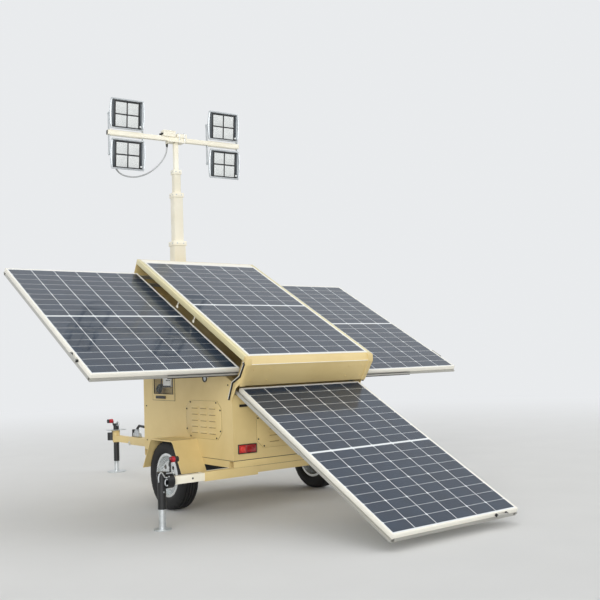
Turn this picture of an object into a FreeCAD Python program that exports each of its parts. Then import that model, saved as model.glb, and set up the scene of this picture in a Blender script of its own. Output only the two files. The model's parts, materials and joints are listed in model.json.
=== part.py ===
import FreeCAD, Part
import Sketcher
import math
import os
import re

# Towed solar light tower, parked with its panels out and its mast partly up.
# Millimetres. X is to the right, Y forward to the tow coupler, Z up from the ground.
# Y is measured from the rear top edge of the fixed solar module, and every finished piece
# is then shifted by shift_y, which puts the origin under the middle of the whole trailer.
# Pieces of the panel array are drawn level, Y up the slope and Z square to the modules,
# and are then turned by the tilt about that same edge. A "drop" is a depth below the top
# face of the fixed module. Pieces of the mast are drawn square, and are then turned with
# it on its base by mast_turn.

SIZES = {
    # solar modules
    "tilt": 28.4,
    "edge_height": 1150,
    "module_length": 1722,
    "module_width": 1134,
    "module_depth": 30,
    "module_lip": 12,
    "laminate": 5,
    "laminate_inset": 1,
    "seat_gap": 0.3,
    "carriage_depth": 25,
    "carriage_beam": 30,
    "carriage_bar": 40,
    "tube_wall": 3,
    "left_drop": 120,
    "right_drop": 190,
    "rear_drop": 260,
    "side_reach": 1150,
    "rear_reach": 1722,
    "side_setback": 40,
    "handle_length": 110,
    "handle_bar": 8,
    "handle_post": 12,
    "handle_reach": 14,
    "handle_drop": 4,
    "handle_height": 16,
    "left_handle_from": 240,
    "rear_handle_from": 340,
    # telescopic slides
    "slide_width": 20,
    "slide_height": 27,
    "slide_wall": 3,
    "slide_lip": 5,
    "slide_play": 0.5,
    "slide_lead": 28,
    "side_slide_length": 1180,
    "rear_slide_length": 1480,
    "rear_slide_start": 60,
    "packer_width": 7,
    # panel housing
    "housing_sheet": 3,
    "top_rail_gap": 2,
    "top_rail_drop": 4,
    "top_rail_foot": 45,
    "sill_drop": 248,
    "sill_width": 40,
    "nose_drop": 330,
    "nose_reach": 246.4,
    "nose_gap": 2,
    "rib_width": 40,
    "rib_foot": 60,
    "crease_drop": 50,
    "crease_out": 43,
    "hood_foot_drop": 228,
    "hood_foot_out": 30,
    "hood_edge_wall": 4.2,
    "crease_wall": 1.5,
    "cheek_sheet": 6,
    "cap_width": 40,
    "cap_swell": 8,
    "neck_drop": 158,
    "neck_out": 5,
    "jog_drop_left": 242,
    "jog_drop_right": 268,
    "jog_in": 58,
    "cheek_tip_drop": 375,
    "cheek_tip_width": 43,
    "cheek_tip_in": 48,
    "cheek_lead": 14,
    "cheek_bend_drop": 262,
    "cheek_shoulder_drop": 208,
    "seal_width": 9,
    "seal_depth": 2,
    # cabinet
    "cabinet_sheet": 3,
    "cabinet_rear": 180,
    "cabinet_bottom": 400,
    "wall_drop": 252,
    "end_wall_drop": 330,
    "door_length": 355,
    "door_margin": 161,
    "door_bottom": 811,
    "door_top": 1130,
    "door_lap": 12,
    "door_sheet": 2,
    "door_gap": 0.5,
    "window_margin": 26,
    "window_sill": 52,
    "grip_start": 139,
    "grip_length": 156,
    "grip_sill": 15,
    "grip_height": 18,
    "grip_depth": 7,
    "hinge_radius": 4,
    "hinge_rise": 2,
    "tray_depth": 95,
    "unit_depth": 40,
    "unit_start": 49,
    "unit_length": 151,
    "unit_sill": 120,
    "unit_height": 95,
    "battery_width": 760,
    "battery_length": 420,
    "battery_height": 260,
    "battery_rear": 620,
    "vent_length": 494,
    "vent_height": 282,
    "vent_middle_y": 571,
    "vent_middle_z": 681,
    "vent_chamfer": 55,
    "vent_sheet": 2,
    "vent_lap": 30,
    "rear_vent_length": 780,
    "rear_vent_middle_z": 615,
    "louvre_length": 96,
    "louvre_height": 14,
    "louvre_depth": 9,
    "louvre_pitch": 123,
    "rear_louvre_pitch": 117,
    "louvre_rise": 46,
    "tail_lamp_inset": 37,
    "tail_lamp_width": 163,
    "tail_lamp_height": 68,
    "tail_lamp_depth": 9,
    "tail_lamp_bottom": 446,
    # chassis
    "rail_width": 50,
    "rail_height": 50,
    "rail_wall": 4,
    "crossmember_width": 50,
    "rear_beam_height": 98,
    "rear_beam_depth": 60,
    "sleeve_size": 63,
    "sleeve_wall": 4,
    "sleeve_bottom": 287,
    "sleeve_lap": 3,
    "sleeve_inner_end": 390,
    "sleeve_outer_end": 840,
    "beam_wall": 4,
    "beam_play": 0.4,
    "beam_inner_end": 660,
    "spine_size": 76,
    "spine_wall": 8,
    "spine_bottom": 302,
    "spine_rear": 900,
    "spine_front": 2900,
    "drawbar_wall": 6,
    "drawbar_rear": 2500,
    "socket_wall": 8,
    "jack_plate_width": 176,
    "jack_plate_length": 110,
    "jack_plate_sheet": 6,
    "jack_plate_height": 424,
    "coupler_length": 120,
    "coupler_width": 76,
    "shank_inset": 8,
    "shank_lap": 6,
    "shank_height": 68,
    "cup_rise": 4,
    "cup_height": 78,
    "ball_radius": 25,
    "ball_play": 0.5,
    "ball_rise": 36,
    "brake_rear": 2720,
    "brake_length": 120,
    "brake_width": 32,
    "brake_height": 40,
    "lever_width": 14,
    "lever_thick": 16,
    "lever_foot": 2816,
    "lever_foot_rise": 34,
    "lever_elbow": 2740,
    "lever_elbow_rise": 104,
    "lever_tip": 2634,
    "lever_tip_rise": 98,
    # running gear
    "tyre_clearance": 30.5,
    "axle_y": 844,
    "tyre_radius": 261,
    "tyre_width": 155,
    "bead_height": 14,
    "sidewall_height": 38,
    "shoulder_height": 30,
    "shoulder_in": 14,
    "tread_drop": 7,
    "rim_radius": 152,
    "rim_width": 118,
    "rim_wall": 5,
    "flange_height": 13,
    "disc_out": 34,
    "disc_sheet": 6,
    "disc_slope": 18,
    "disc_back_slope": 26,
    "disc_ring": 46,
    "disc_back_ring": 48,
    "hub_radius": 48,
    "hub_rise": 14,
    "hub_chamfer": 4,
    "hub_cap_sheet": 10,
    "hub_inner_end": 30,
    "hub_play": 0.08,
    "rim_window_radius": 17,
    "rim_window_circle": 80,
    "spindle_radius": 17.5,
    "spindle_end": 30,
    "axle_gap": 3,
    "axle_size": 60,
    "axle_wall": 6,
    "axle_lead": 150,
    "arm_width": 24,
    "arm_half": 25,
    "arm_nose": 32,
    "arm_tail": 30,
    "arm_corner": 14,
    "bracket_inset": 7,
    "bracket_width": 35,
    "bracket_length": 40,
    "fender_lap": 29.5,
    "fender_top": 532,
    "fender_foot": 300,
    "fender_half_top": 165,
    "fender_half_foot": 297,
    "fender_sheet": 3,
    "fender_corner": 1.5,
    "fender_slant": 3.6,
    # jacks
    "jack_radius": 28.5,
    "jack_wall": 4,
    "jack_cap_lap": 3,
    "jack_cap_height": 22,
    "leg_radius": 24,
    "leg_wall": 4,
    "tow_leg_top": 330,
    "rear_leg_top": 235,
    "rear_jack_x": 1165,
    "rear_jack_foot": 137,
    "rear_jack_head": 362,
    "swivel_length": 50,
    "swivel_radius": 48,
    "tow_jack_y": 3245,
    "tow_jack_foot": 110,
    "tow_jack_head": 470,
    "tow_foot_radius": 95,
    "rear_foot_radius": 60,
    "foot_thick": 8,
    "crank_radius": 6,
    "crank_shaft": 8,
    "rear_crank_reach": 68,
    "rear_crank_rise": 98,
    "tow_crank_reach": 34,
    "tow_crank_rise": 50,
    "crank_grip_radius": 19.5,
    "crank_grip_start": 4,
    "crank_grip_end": 60,
    # mast
    "mast_y": 1915,
    "mast_turn": 5.9,
    "mast_plate": 8,
    "base_plate_width": 220,
    "mast_wall": 4,
    "mast_1": 110,
    "mast_2": 86,
    "mast_3": 62,
    "mast_4": 40,
    "mast_1_top": 2213,
    "mast_2_top": 2664,
    "mast_3_top": 2881,
    "mast_4_top": 3145,
    "mast_inner_length": 1700,
    "collar_lip": 8,
    "collar_height": 34,
    "turntable_radius": 93.5,
    "winch_height": 1210,
    "winch_out": 46,
    "winch_depth": 88,
    "winch_half_height": 50,
    "drum_radius": 32,
    "drum_half": 45,
    "winch_sheet": 8,
    "winch_shaft_radius": 9,
    "winch_arm_out": 88,
    "winch_arm_width": 20,
    "winch_arm_rise": 12,
    "winch_arm_reach": 160,
    "winch_throw": 146,
    "winch_grip_radius": 13,
    "winch_grip_length": 94,
    # mast head and lamps
    "bar_length": 1322,
    "bar_size": 40,
    "bar_wall": 3,
    "bar_bottom": 3157,
    "head_width": 150,
    "head_length": 90,
    "junction_width": 120,
    "junction_length": 64,
    "junction_height": 52,
    "clamp_width": 95,
    "clamp_length": 56,
    "clamp_height": 34,
    "head_gap": 10,
    "gland_x": 60,
    "gland_out": 60,
    "gland_radius": 13,
    "gland_drop": 14,
    "gland_height": 32,
    "gland_arm_width": 20,
    "gland_arm_sheet": 8,
    "lamp_x": 485,
    "lamp_width": 314,
    "lamp_height": 270,
    "lamp_depth": 62,
    "lamp_face": 50,
    "lamp_gap_high": 19,
    "lamp_gap_low": 37,
    "lens_margin": 34,
    "lens_recess": 12,
    "lens_depth": 4,
    "inlet_size": 32,
    "inlet_x": 584,
    "inlet_drop": 206,
    "inlet_height": 36,
    "yoke_width": 30,
    "yoke_sheet": 5,
    "yoke_past_pivot": 13,
    "cable_radius": 7,
    # how far a block that cuts reaches past what it cuts
    "overcut": 1,
}

# Sizes that follow from the ones above.
DERIVED = {
    "slide_step": "slide_wall + slide_play",
    "module_half": "module_width / 2",
    "wall_inside": "module_half + slide_width + packer_width",
    "cabinet_half": "wall_inside + cabinet_sheet",
    "housing_half": "cabinet_half + housing_sheet",
    "top_rail_width": "housing_half - module_half - top_rail_gap",
    "housing_front": "side_setback + module_length + slide_width",
    "housing_rear": "side_setback - slide_width",
    "nose_start": "housing_front - nose_reach",
    "cabinet_front": "(nose_start - nose_gap) * cos(tilt) + nose_drop * sin(tilt)",
    "door_front": "cabinet_front - door_margin",
    "door_rear": "door_front - door_length",
    "coupler_tip": "tow_jack_y + jack_radius + socket_wall + coupler_length",
    "rear_tip": "-(rear_reach + handle_reach + handle_bar) * cos(tilt)"
                " + (rear_drop + handle_drop) * sin(tilt)",
    "shift_y": "-(coupler_tip + rear_tip) / 2",
    "beam_size": "sleeve_size - 2 * sleeve_wall - 2 * beam_play",
    "beam_outer_end": "rear_jack_x - jack_radius - swivel_length - seat_gap",
    "beam_bottom": "sleeve_bottom + sleeve_wall + beam_play",
    "rail_bottom": "cabinet_bottom - rail_height",
    "spine_top": "spine_bottom + spine_size",
    "drawbar_size": "spine_size - 2 * spine_wall - 2 * seat_gap",
    "drawbar_bottom": "spine_bottom + spine_wall + seat_gap",
    "shank_bottom": "drawbar_bottom + shank_inset",
    "cheek_inner": "cabinet_half",
    "cheek_half": "cheek_inner + cheek_sheet",
    "track_half": "cabinet_half + tyre_clearance + tyre_width / 2",
    "fender_outer": "track_half + tyre_width / 2 + fender_lap",
    "axle_half": "cabinet_half + axle_gap",
    "lamp_top_low": "bar_bottom - lamp_gap_low",
    "lamp_foot_high": "bar_bottom + bar_size + lamp_gap_high",
    "outrigger_y": "cabinet_rear - sleeve_lap + sleeve_size / 2",
}

doc = FreeCAD.newDocument("LightTower")
sheet = doc.addObject("Spreadsheet::Sheet", "Dims")
cells = [(alias, str(value)) for alias, value in SIZES.items()]
cells += [(alias, "=" + formula) for alias, formula in DERIVED.items()]
for row, (alias, content) in enumerate(cells, start=1):
    sheet.set("A%d" % row, alias)
    sheet.set("B%d" % row, content)
    sheet.setAlias("B%d" % row, alias)
doc.recompute()

ALIASES = {alias for alias, content in cells}
WORD = re.compile(r"[A-Za-z_][A-Za-z_0-9]*")


def bound(formula):
    """A formula with each size's name pointing at its cell."""
    return WORD.sub(lambda m: "Dims." + m.group(0) if m.group(0) in ALIASES else m.group(0),
                    str(formula))


def now(formula):
    """What a formula comes to with the sizes as they are."""
    return float(sheet.evalExpression(str(formula)))


def bind(obj, **formulas):
    for prop, formula in formulas.items():
        obj.setExpression(prop, bound(formula))
    return obj


def move(obj, x=0, y=0, z=0):
    for axis, formula in (("x", x), ("y", y), ("z", z)):
        obj.setExpression("Placement.Base." + axis, bound(formula))
    return obj


def box(name, x, y, z):
    """A block between two formulas on each axis."""
    block = doc.addObject("Part::Box", name)
    for prop, (low, high) in (("Length", x), ("Width", y), ("Height", z)):
        block.setExpression(prop, bound("(%s) - (%s)" % (high, low)))
    return move(block, x[0], y[0], z[0])


def centred(width, middle="0"):
    return ("%s - (%s) / 2" % (middle, width), "%s + (%s) / 2" % (middle, width))


def slab(name, x, y, drops):
    """A block of the array: its two drops are its top and bottom."""
    top, foot = drops
    return box(name, x, y, ("-(%s)" % foot, "-(%s)" % top))


TURNS = {
    "x": FreeCAD.Rotation(FreeCAD.Vector(0, 1, 0), 90),
    "y": FreeCAD.Rotation(FreeCAD.Vector(1, 0, 0), -90),
    "z": FreeCAD.Rotation(),
}


def rod(name, axis, radius, x, y, z):
    """A cylinder along an axis: that axis has two formulas, the others one."""
    places = {"x": x, "y": y, "z": z}
    low, high = places[axis]
    places[axis] = low
    bar = doc.addObject("Part::Cylinder", name)
    bar.Placement = FreeCAD.Placement(FreeCAD.Vector(), TURNS[axis])
    bind(bar, Radius=radius, Height="(%s) - (%s)" % (high, low))
    return move(bar, places["x"], places["y"], places["z"])


def cut(name, base, *tools):
    result = doc.addObject("Part::Cut", name)
    result.Base = base
    result.Tool = tools[0] if len(tools) == 1 else fuse(name + "_tools", *tools)
    return result


def fuse(name, *shapes):
    result = doc.addObject("Part::MultiFuse", name)
    result.Shapes = list(shapes)
    return result


def mirrored(source):
    """The same piece on the other side of the trailer."""
    copy = doc.addObject("Part::Mirroring", source.Name + "_mirrored")
    copy.Source = source
    copy.Normal = (1, 0, 0)
    return copy


def square_tube(name, x, y, z, wall, along):
    """A square tube between formulas, open at both ends along one axis."""
    bore = []
    for axis, (low, high) in zip("xyz", (x, y, z)):
        inset, outset = ("-", "+") if axis == along else ("+", "-")
        bore.append(("(%s) %s (%s)" % (low, inset, wall), "(%s) %s (%s)" % (high, outset, wall)))
    return cut(name, box(name + "_outer", x, y, z), box(name + "_bore", *bore))


def slab_tube(name, x, y, drops, wall, along):
    """A square tube of the array: its two drops are its top and bottom."""
    top, foot = drops
    return square_tube(name, x, y, ("-(%s)" % foot, "-(%s)" % top), wall, along)


def round_tube(name, radius, wall, x, y, z):
    """An upright round tube, open at both ends."""
    bore = ("(%s) - (%s)" % (z[0], wall), "(%s) + (%s)" % (z[1], wall))
    outer = rod(name + "_outer", "z", radius, x, y, z)
    inner = rod(name + "_bore", "z", "(%s) - (%s)" % (radius, wall), x, y, bore)
    return cut(name, outer, inner)


def new_body(name, plane, loops, offset=0):
    """A body with one sketch: closed outlines whose corners are each held by two formulas."""
    body = doc.addObject("PartDesign::Body", name)
    sketch = body.newObject("Sketcher::SketchObject", name + "_outline")
    plane = next(f for f in body.Origin.OriginFeatures if f.Role == plane)
    sketch.AttachmentSupport = [(plane, "")]
    sketch.MapMode = "FlatFace"
    sketch.setExpression("AttachmentOffset.Base.z", bound(offset))
    for loop in loops:
        first = sketch.GeometryCount
        ring = [FreeCAD.Vector(now(h), now(v), 0) for h, v in loop]
        for start, end in zip(ring, ring[1:] + ring[:1]):
            sketch.addGeometry(Part.LineSegment(start, end), False)
        for i, (h, v) in enumerate(loop):
            following = first + (i + 1) % len(loop)
            sketch.addConstraint(Sketcher.Constraint("Coincident", first + i, 2, following, 1))
        for i, (h, v) in enumerate(loop):
            for kind, value, formula in (("DistanceX", ring[i].x, h), ("DistanceY", ring[i].y, v)):
                held = Sketcher.Constraint(kind, -1, 1, first + i, 1, value)
                index = sketch.addConstraint(held)
                sketch.setExpression("Constraints[%d]" % index, bound(formula))
    return body, sketch


def pad(name, plane, loops, offset, depth):
    body, sketch = new_body(name, plane, loops, offset)
    feature = body.newObject("PartDesign::Pad", name + "_pad")
    feature.Profile = sketch
    bind(feature, Length=depth)
    return body


def side_profile(name, loops, x):
    """Outlines seen from the side, in Y and Z, between two formulas across the trailer."""
    return pad(name, "YZ_Plane", loops, x[0], "(%s) - (%s)" % (x[1], x[0]))


def turned(name, loops):
    """Outlines in X and radius, turned about the X axis."""
    body, sketch = new_body(name, "XY_Plane", loops)
    feature = body.newObject("PartDesign::Revolution", name + "_turn")
    feature.Profile = sketch
    axis = next(f for f in body.Origin.OriginFeatures if f.Role == "X_Axis")
    feature.ReferenceAxis = (axis, [""])
    feature.Angle = 360
    return body


NODES = []


def node(label, *pieces, on_array=False, on_mast=False):
    """The finished piece, set in its place on the trailer."""
    finished = doc.addObject("Part::Compound", label)
    finished.Links = list(pieces)
    finished.setExpression("Placement.Base.y", bound("shift_y"))
    if on_array:
        axis = FreeCAD.Rotation(FreeCAD.Vector(1, 0, 0), 1)
        finished.Placement = FreeCAD.Placement(FreeCAD.Vector(), axis)
        finished.setExpression("Placement.Rotation.Angle", bound("tilt"))
        finished.setExpression("Placement.Base.z", bound("edge_height"))
    if on_mast:
        axis = FreeCAD.Rotation(FreeCAD.Vector(0, 0, -1), 1)
        finished.Placement = FreeCAD.Placement(FreeCAD.Vector(), axis)
        finished.setExpression("Placement.Rotation.Angle", bound("mast_turn"))
        finished.setExpression("Placement.Base.x", bound("-mast_y * sin(mast_turn)"))
        finished.setExpression("Placement.Base.y",
                               bound("shift_y + mast_y - mast_y * cos(mast_turn)"))
    NODES.append(finished)


# Solar modules: a frame with a laminate in it.

def module(label, x, y, drop):
    """x and y are the module's two ends on each axis, drop is its top face."""
    outer = slab(label + "_edge", x, y, (drop, "%s + module_depth" % drop))
    inset = [("%s + module_lip" % low, "%s - module_lip" % high) for low, high in (x, y)]
    opening = slab(label + "_opening", *inset,
                   ("%s - overcut" % drop, "%s + module_depth + overcut" % drop))
    seat = [("%s + seat_gap" % low, "%s - seat_gap" % high) for low, high in inset]
    top = "%s + laminate_inset" % drop
    node(label + "_frame", cut(label + "_ring", outer, opening), on_array=True)
    node(label + "_laminate", slab(label + "_sheet", *seat, (top, top + " + laminate")),
         on_array=True)


# Telescopic slides: three members nested sideways, each with its own lips.

def slide_member(name, level, side, along, lateral, drop):
    """One member. Level 0 is fixed, 1 runs inside it, 2 is the solid bar on the carriage.

    lateral is where the carriage's edge lies and side is the way from there to the wall.
    """
    run_axis, reach = along
    step = "%d * slide_step" % level
    high = "%s + slide_lead + %s" % (drop, step)
    low = "%s + slide_lead + slide_height - %s" % (drop, step)
    far = "slide_width - %s" % step
    near = "0" if level == 2 else "slide_lip"
    spans = {"far": far, "near": near}
    for key, text in spans.items():
        spans[key] = "(%s) %s (%s)" % (lateral, side, text)
    across = (spans["near"], spans["far"]) if side == "+" else (spans["far"], spans["near"])
    ends = (across, reach) if run_axis == "y" else (reach, across)
    blank = slab(name, ends[0], ends[1], (high, low))
    if level == 2:
        return blank
    web = "(%s) %s (%s - slide_wall)" % (lateral, side, far)
    mouth = "(%s) %s (-overcut)" % (lateral, side)
    hollow = (mouth, web) if side == "+" else (web, mouth)
    grown = ("%s - overcut" % reach[0], "%s + overcut" % reach[1])
    ends = (hollow, grown) if run_axis == "y" else (grown, hollow)
    core = slab(name + "_hollow", ends[0], ends[1], (high + " + slide_wall", low + " - slide_wall"))
    return cut(name + "_channel", blank, core)


def side_slides(name, level, centre, drop):
    """A pair of members across the trailer, one at each end of a side panel."""
    length = "side_slide_length" if level < 2 else "module_width"
    reach = ("%s - %s / 2" % (centre, length), "%s + %s / 2" % (centre, length))
    rear = slide_member(name + "_rear", level, "-", ("x", reach), "side_setback", drop)
    front = slide_member(name + "_front", level, "+", ("x", reach),
                         "side_setback + module_length", drop)
    return [rear, front]


def rear_slides(name, level, start, length, drop):
    """A pair of members along the slope, one each side of the rear panel."""
    reach = (start, "%s + %s" % (start, length))
    left = slide_member(name + "_left", level, "-", ("y", reach), "-module_half", drop)
    right = slide_member(name + "_right", level, "+", ("y", reach), "module_half", drop)
    return [left, right]


CARRIAGE_BARS = 4


def carriage(name, x, y, drop, beams_along):
    """The ladder under a sliding module: two beams and four bars between them."""
    span = ("%s + module_depth" % drop, "%s + module_depth + carriage_depth" % drop)
    run, across = (x, y) if beams_along == "x" else (y, x)
    beams = [(across[0], across[0] + " + carriage_beam"),
             (across[1] + " - carriage_beam", across[1])]
    pieces = []
    for i, edge in enumerate(beams):
        ends = (run, edge) if beams_along == "x" else (edge, run)
        pieces.append(slab_tube("%s_beam_%d" % (name, i), *ends, span, "tube_wall", beams_along))
    bars_along = "y" if beams_along == "x" else "x"
    for i in range(CARRIAGE_BARS):
        step = "(%s - (%s) - carriage_bar) / %d" % (run[1], run[0], CARRIAGE_BARS - 1)
        low = "%s + %d * %s" % (run[0], i, step)
        bar, gap = (low, low + " + carriage_bar"), (beams[0][1], beams[1][0])
        ends = (bar, gap) if beams_along == "x" else (gap, bar)
        pieces.append(slab_tube("%s_bar_%d" % (name, i), *ends, span, "tube_wall", bars_along))
    return pieces


def handle_depth(drop):
    return ("%s + handle_drop" % drop, "%s + handle_drop + handle_height" % drop)


def handle(name, bar, posts):
    return fuse(name, slab(name + "_bar", *bar), *[slab("%s_post_%d" % (name, i), *post)
                                                  for i, post in enumerate(posts)])


module("fixed_module", ("-module_half", "module_half"), ("0", "module_length"), "0")

SIDES = {
    "left": {"sign": "-", "drop": "left_drop"},
    "right": {"sign": "+", "drop": "right_drop"},
}
for side, row in SIDES.items():
    drop = row["drop"]
    centre = "%s side_reach" % row["sign"]
    x = ("%s - module_half" % centre, "%s + module_half" % centre)
    y = ("side_setback", "side_setback + module_length")
    module(side + "_panel", x, y, drop)
    edge = x[0] if side == "left" else x[1]
    inner, outer = [edge + row["sign"] + reach for reach in ("handle_reach",
                                                             "(handle_reach + handle_bar)")]
    post_x = tuple(sorted((edge, outer), key=now))
    bar_x = tuple(sorted((inner, outer), key=now))
    depth = handle_depth(drop)
    ends = ("left_handle_from", "left_handle_from + handle_length")
    posts = [(post_x, (end, end + " + handle_post"), depth)
             for end in (ends[0], ends[1] + " - handle_post")]
    node(side + "_carriage",
         fuse(side + "_ladder", *carriage(side + "_carriage", x, y, drop, "x"),
              *side_slides(side + "_inner_slide", 2, centre, drop)),
         handle(side + "_handle", (bar_x, ends, depth), posts), on_array=True)
    half = "%s side_reach / 2" % row["sign"]
    node(side + "_mid_slides", *side_slides(side + "_mid_slide", 1, half, drop), on_array=True)

rear_x = ("-module_half", "module_half")
rear_y = ("-rear_reach", "module_length - rear_reach")
module("rear_panel", rear_x, rear_y, "rear_drop")
depth = handle_depth("rear_drop")
tip = "-(rear_reach + handle_reach + handle_bar)"
ends = ("rear_handle_from", "rear_handle_from + handle_length")
posts = [((end, end + " + handle_post"), (tip, "-rear_reach"), depth)
         for end in (ends[0], ends[1] + " - handle_post")]
node("rear_carriage",
     fuse("rear_ladder", *carriage("rear_carriage_part", rear_x, rear_y, "rear_drop", "y"),
          *rear_slides("rear_inner_slide", 2, "-rear_reach", "module_length", "rear_drop")),
     handle("rear_handle", (ends, (tip, tip + " + handle_bar"), depth), posts), on_array=True)
node("rear_mid_slides", *rear_slides("rear_mid_slide", 1,
                                     "rear_slide_start - rear_reach / 2",
                                     "rear_slide_length", "rear_drop"), on_array=True)

# The rear pair's fixed members have a thicker back, out to the cabinet's walls.
packer = ("rear_slide_start", "rear_slide_start + rear_slide_length")
packer_drops = ("rear_drop + slide_lead", "rear_drop + slide_lead + slide_height")
packers = [slab("rear_packer_left", ("-wall_inside", "-(module_half + slide_width)"),
                packer, packer_drops)]
packers.append(mirrored(packers[0]))
fixed = side_slides("left_fixed_slide", 0, "0", "left_drop")
fixed += side_slides("right_fixed_slide", 0, "0", "right_drop")
rear_fixed = rear_slides("rear_fixed_slide", 0, "rear_slide_start", "rear_slide_length",
                         "rear_drop")
fixed += [fuse("rear_fixed_%d" % i, member, back)
          for i, (member, back) in enumerate(zip(rear_fixed, packers))]
node("fixed_slides", *fixed, on_array=True)

# Panel housing: a top frame of rails and ribs, and a tub of end walls, sills and nose.
rail = slab_tube("top_rail", ("-housing_half", "-housing_half + top_rail_width"),
                 ("0", "housing_front"), ("top_rail_drop", "top_rail_foot"), "tube_wall", "y")
RIBS = 3
rib_x = ("-housing_half + top_rail_width", "housing_half - top_rail_width")
ribs = []
for i in range(RIBS):
    start = "module_length * %d / %d - rib_width / 2" % (1 + 2 * i, 2 * RIBS)
    ribs.append(slab_tube("rib_%d" % i, rib_x, (start, start + " + rib_width"),
                          ("module_depth", "rib_foot"), "tube_wall", "x"))
node("housing_top_frame", fuse("top_frame", rail, mirrored(rail), *ribs), on_array=True)

sill_y = ("housing_rear - housing_sheet", "housing_front")
sill = cut("sill", slab("sill_strip", ("-housing_half", "-housing_half + sill_width"), sill_y,
                        ("sill_drop", "wall_drop")),
           slab("cheek_space", ("-cheek_half", "-cheek_inner"),
                ("housing_rear - cheek_tip_width", "jog_in + seat_gap"), ("jog_drop_left", "nose_drop")))
front_wall = slab("housing_front_wall", ("-housing_half", "housing_half"),
                  ("housing_front", "housing_front + housing_sheet"),
                  ("top_rail_drop", "nose_drop"))
rear_wall = slab("housing_rear_wall", ("-cheek_inner", "cheek_inner"),
                 ("housing_rear - housing_sheet", "housing_rear"),
                 ("top_rail_foot", "wall_drop"))
nose_cheek = slab("nose_cheek", ("-housing_half", "-cabinet_half"),
                  ("nose_start", "housing_front"), ("wall_drop", "nose_drop"))
nose_floor = slab("nose_floor", ("-cabinet_half", "cabinet_half"),
                  ("nose_start", "housing_front"), ("nose_drop - housing_sheet", "nose_drop"))
node("housing_tub", fuse("tub", sill, mirrored(sill), front_wall, rear_wall, nose_cheek,
                         mirrored(nose_cheek), nose_floor), on_array=True)

# Rear hood: a creased sheet between two S-shaped cheeks, whose upper ends swell into caps.
hood_line = [("-seat_gap", "-top_rail_drop"), ("-crease_out", "-crease_drop"),
             ("-hood_foot_out", "-hood_foot_drop")]
hood_seat = "housing_rear - housing_sheet"
hood_inside = [(hood_seat, "-hood_foot_drop"), (hood_seat, "-hood_foot_drop + housing_sheet"),
               ("-hood_foot_out + housing_sheet", "-hood_foot_drop + housing_sheet"),
               ("-crease_out + housing_sheet", "-crease_drop - crease_wall"),
               ("-seat_gap", "-top_rail_drop - hood_edge_wall")]
hood = side_profile("hood_sheet", [hood_line + hood_inside], ("-cheek_inner", "cheek_inner"))
cap_line = [("-hood_foot_out - cap_swell", "-hood_foot_drop"),
            ("-crease_out - cap_swell", "-crease_drop - cap_swell"),
            ("-crease_out - cap_swell", "-crease_drop"),
            ("-crease_out / 2 - cap_swell", "-top_rail_drop - cap_swell / 2")]
cap = side_profile("hood_cap", [hood_line + cap_line], ("-cheek_inner", "-cheek_inner + cap_width"))

CHEEK_TIP = "-cheek_tip_drop"


def cheek_front(jog):
    return [("-seat_gap", "-top_rail_drop"), ("-seat_gap", "-top_rail_foot"),
            ("-cheek_lead", "-top_rail_foot - cheek_lead"), ("-neck_out", "-neck_drop"),
            ("jog_in", "-" + jog), ("cheek_tip_in", CHEEK_TIP)]


cheek_rear = [("cheek_tip_in - cheek_tip_width", CHEEK_TIP), ("0", "-cheek_bend_drop"),
              ("-hood_foot_out - cap_swell / 2", "-cheek_shoulder_drop")] + cap_line[1:]
cheeks = []
seals = []
for side, sign in (("left", "-"), ("right", "")):
    front = cheek_front("jog_drop_" + side)
    if side == "right":
        front.insert(4, ("seat_gap", "-right_drop - slide_lead - slide_height - seat_gap"))
    span = sorted((sign + "cheek_inner", sign + "cheek_half"), key=now)
    cheeks.append(side_profile(side + "_cheek", [front + cheek_rear], span))
    strip = front[2:]
    strip_back = [("%s - seal_width" % h, v) for h, v in reversed(strip)]
    span = sorted((sign + "cheek_half", sign + "(cheek_half + seal_depth)"), key=now)
    seals.append(side_profile(side + "_seal", [strip + strip_back], span))
node("rear_hood", fuse("hood_shell", hood, cap, mirrored(cap), *cheeks), on_array=True)
node("hood_seals", *seals, on_array=True)

# Cabinet. Side walls rise with the array to just under its sills.


def wall_top(y, drop):
    return "edge_height + (%s) * tan(tilt) - %s / cos(tilt)" % (y, drop)


def wall_outline():
    return [("cabinet_rear", "cabinet_bottom"), ("cabinet_front", "cabinet_bottom"),
            ("cabinet_front", wall_top("cabinet_front", "wall_drop")),
            ("cabinet_rear", wall_top("cabinet_rear", "wall_drop"))]


def rectangle(low_h, high_h, low_v, high_v):
    return [(low_h, low_v), (high_h, low_v), (high_h, high_v), (low_h, high_v)]


door_hole = rectangle("door_rear + door_lap", "door_front - door_lap",
                      "door_bottom + door_lap", "door_top - door_lap")
vent_y = ("vent_middle_y - vent_length / 2", "vent_middle_y + vent_length / 2")
vent_z = ("vent_middle_z - vent_height / 2", "vent_middle_z + vent_height / 2")
vent_hole = rectangle(vent_y[0] + " + vent_chamfer", vent_y[1] + " - vent_chamfer",
                      vent_z[0] + " + vent_lap", vent_z[1] + " - vent_lap")
left_skin = ("-cabinet_half", "-wall_inside")
right_skin = ("wall_inside", "cabinet_half")
node("left_wall", side_profile("left_skin", [wall_outline(), door_hole, vent_hole], left_skin))
node("right_wall", side_profile("right_skin", [wall_outline(), vent_hole], right_skin))
cabinet_x = ("-wall_inside", "wall_inside")
rear_sheet = box("rear_sheet", cabinet_x, ("cabinet_rear", "cabinet_rear + cabinet_sheet"),
                 ("cabinet_bottom", wall_top("cabinet_rear", "end_wall_drop")))
front_sheet = box("front_sheet", cabinet_x, ("cabinet_front - cabinet_sheet", "cabinet_front"),
                  ("cabinet_bottom", wall_top("cabinet_front", "end_wall_drop")))
node("cabinet_end_walls", rear_sheet, front_sheet)
node("cabinet_floor", box("floor_sheet", cabinet_x,
                          ("cabinet_rear + cabinet_sheet", "cabinet_front - cabinet_sheet"),
                          ("cabinet_bottom", "cabinet_bottom + cabinet_sheet")))
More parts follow.
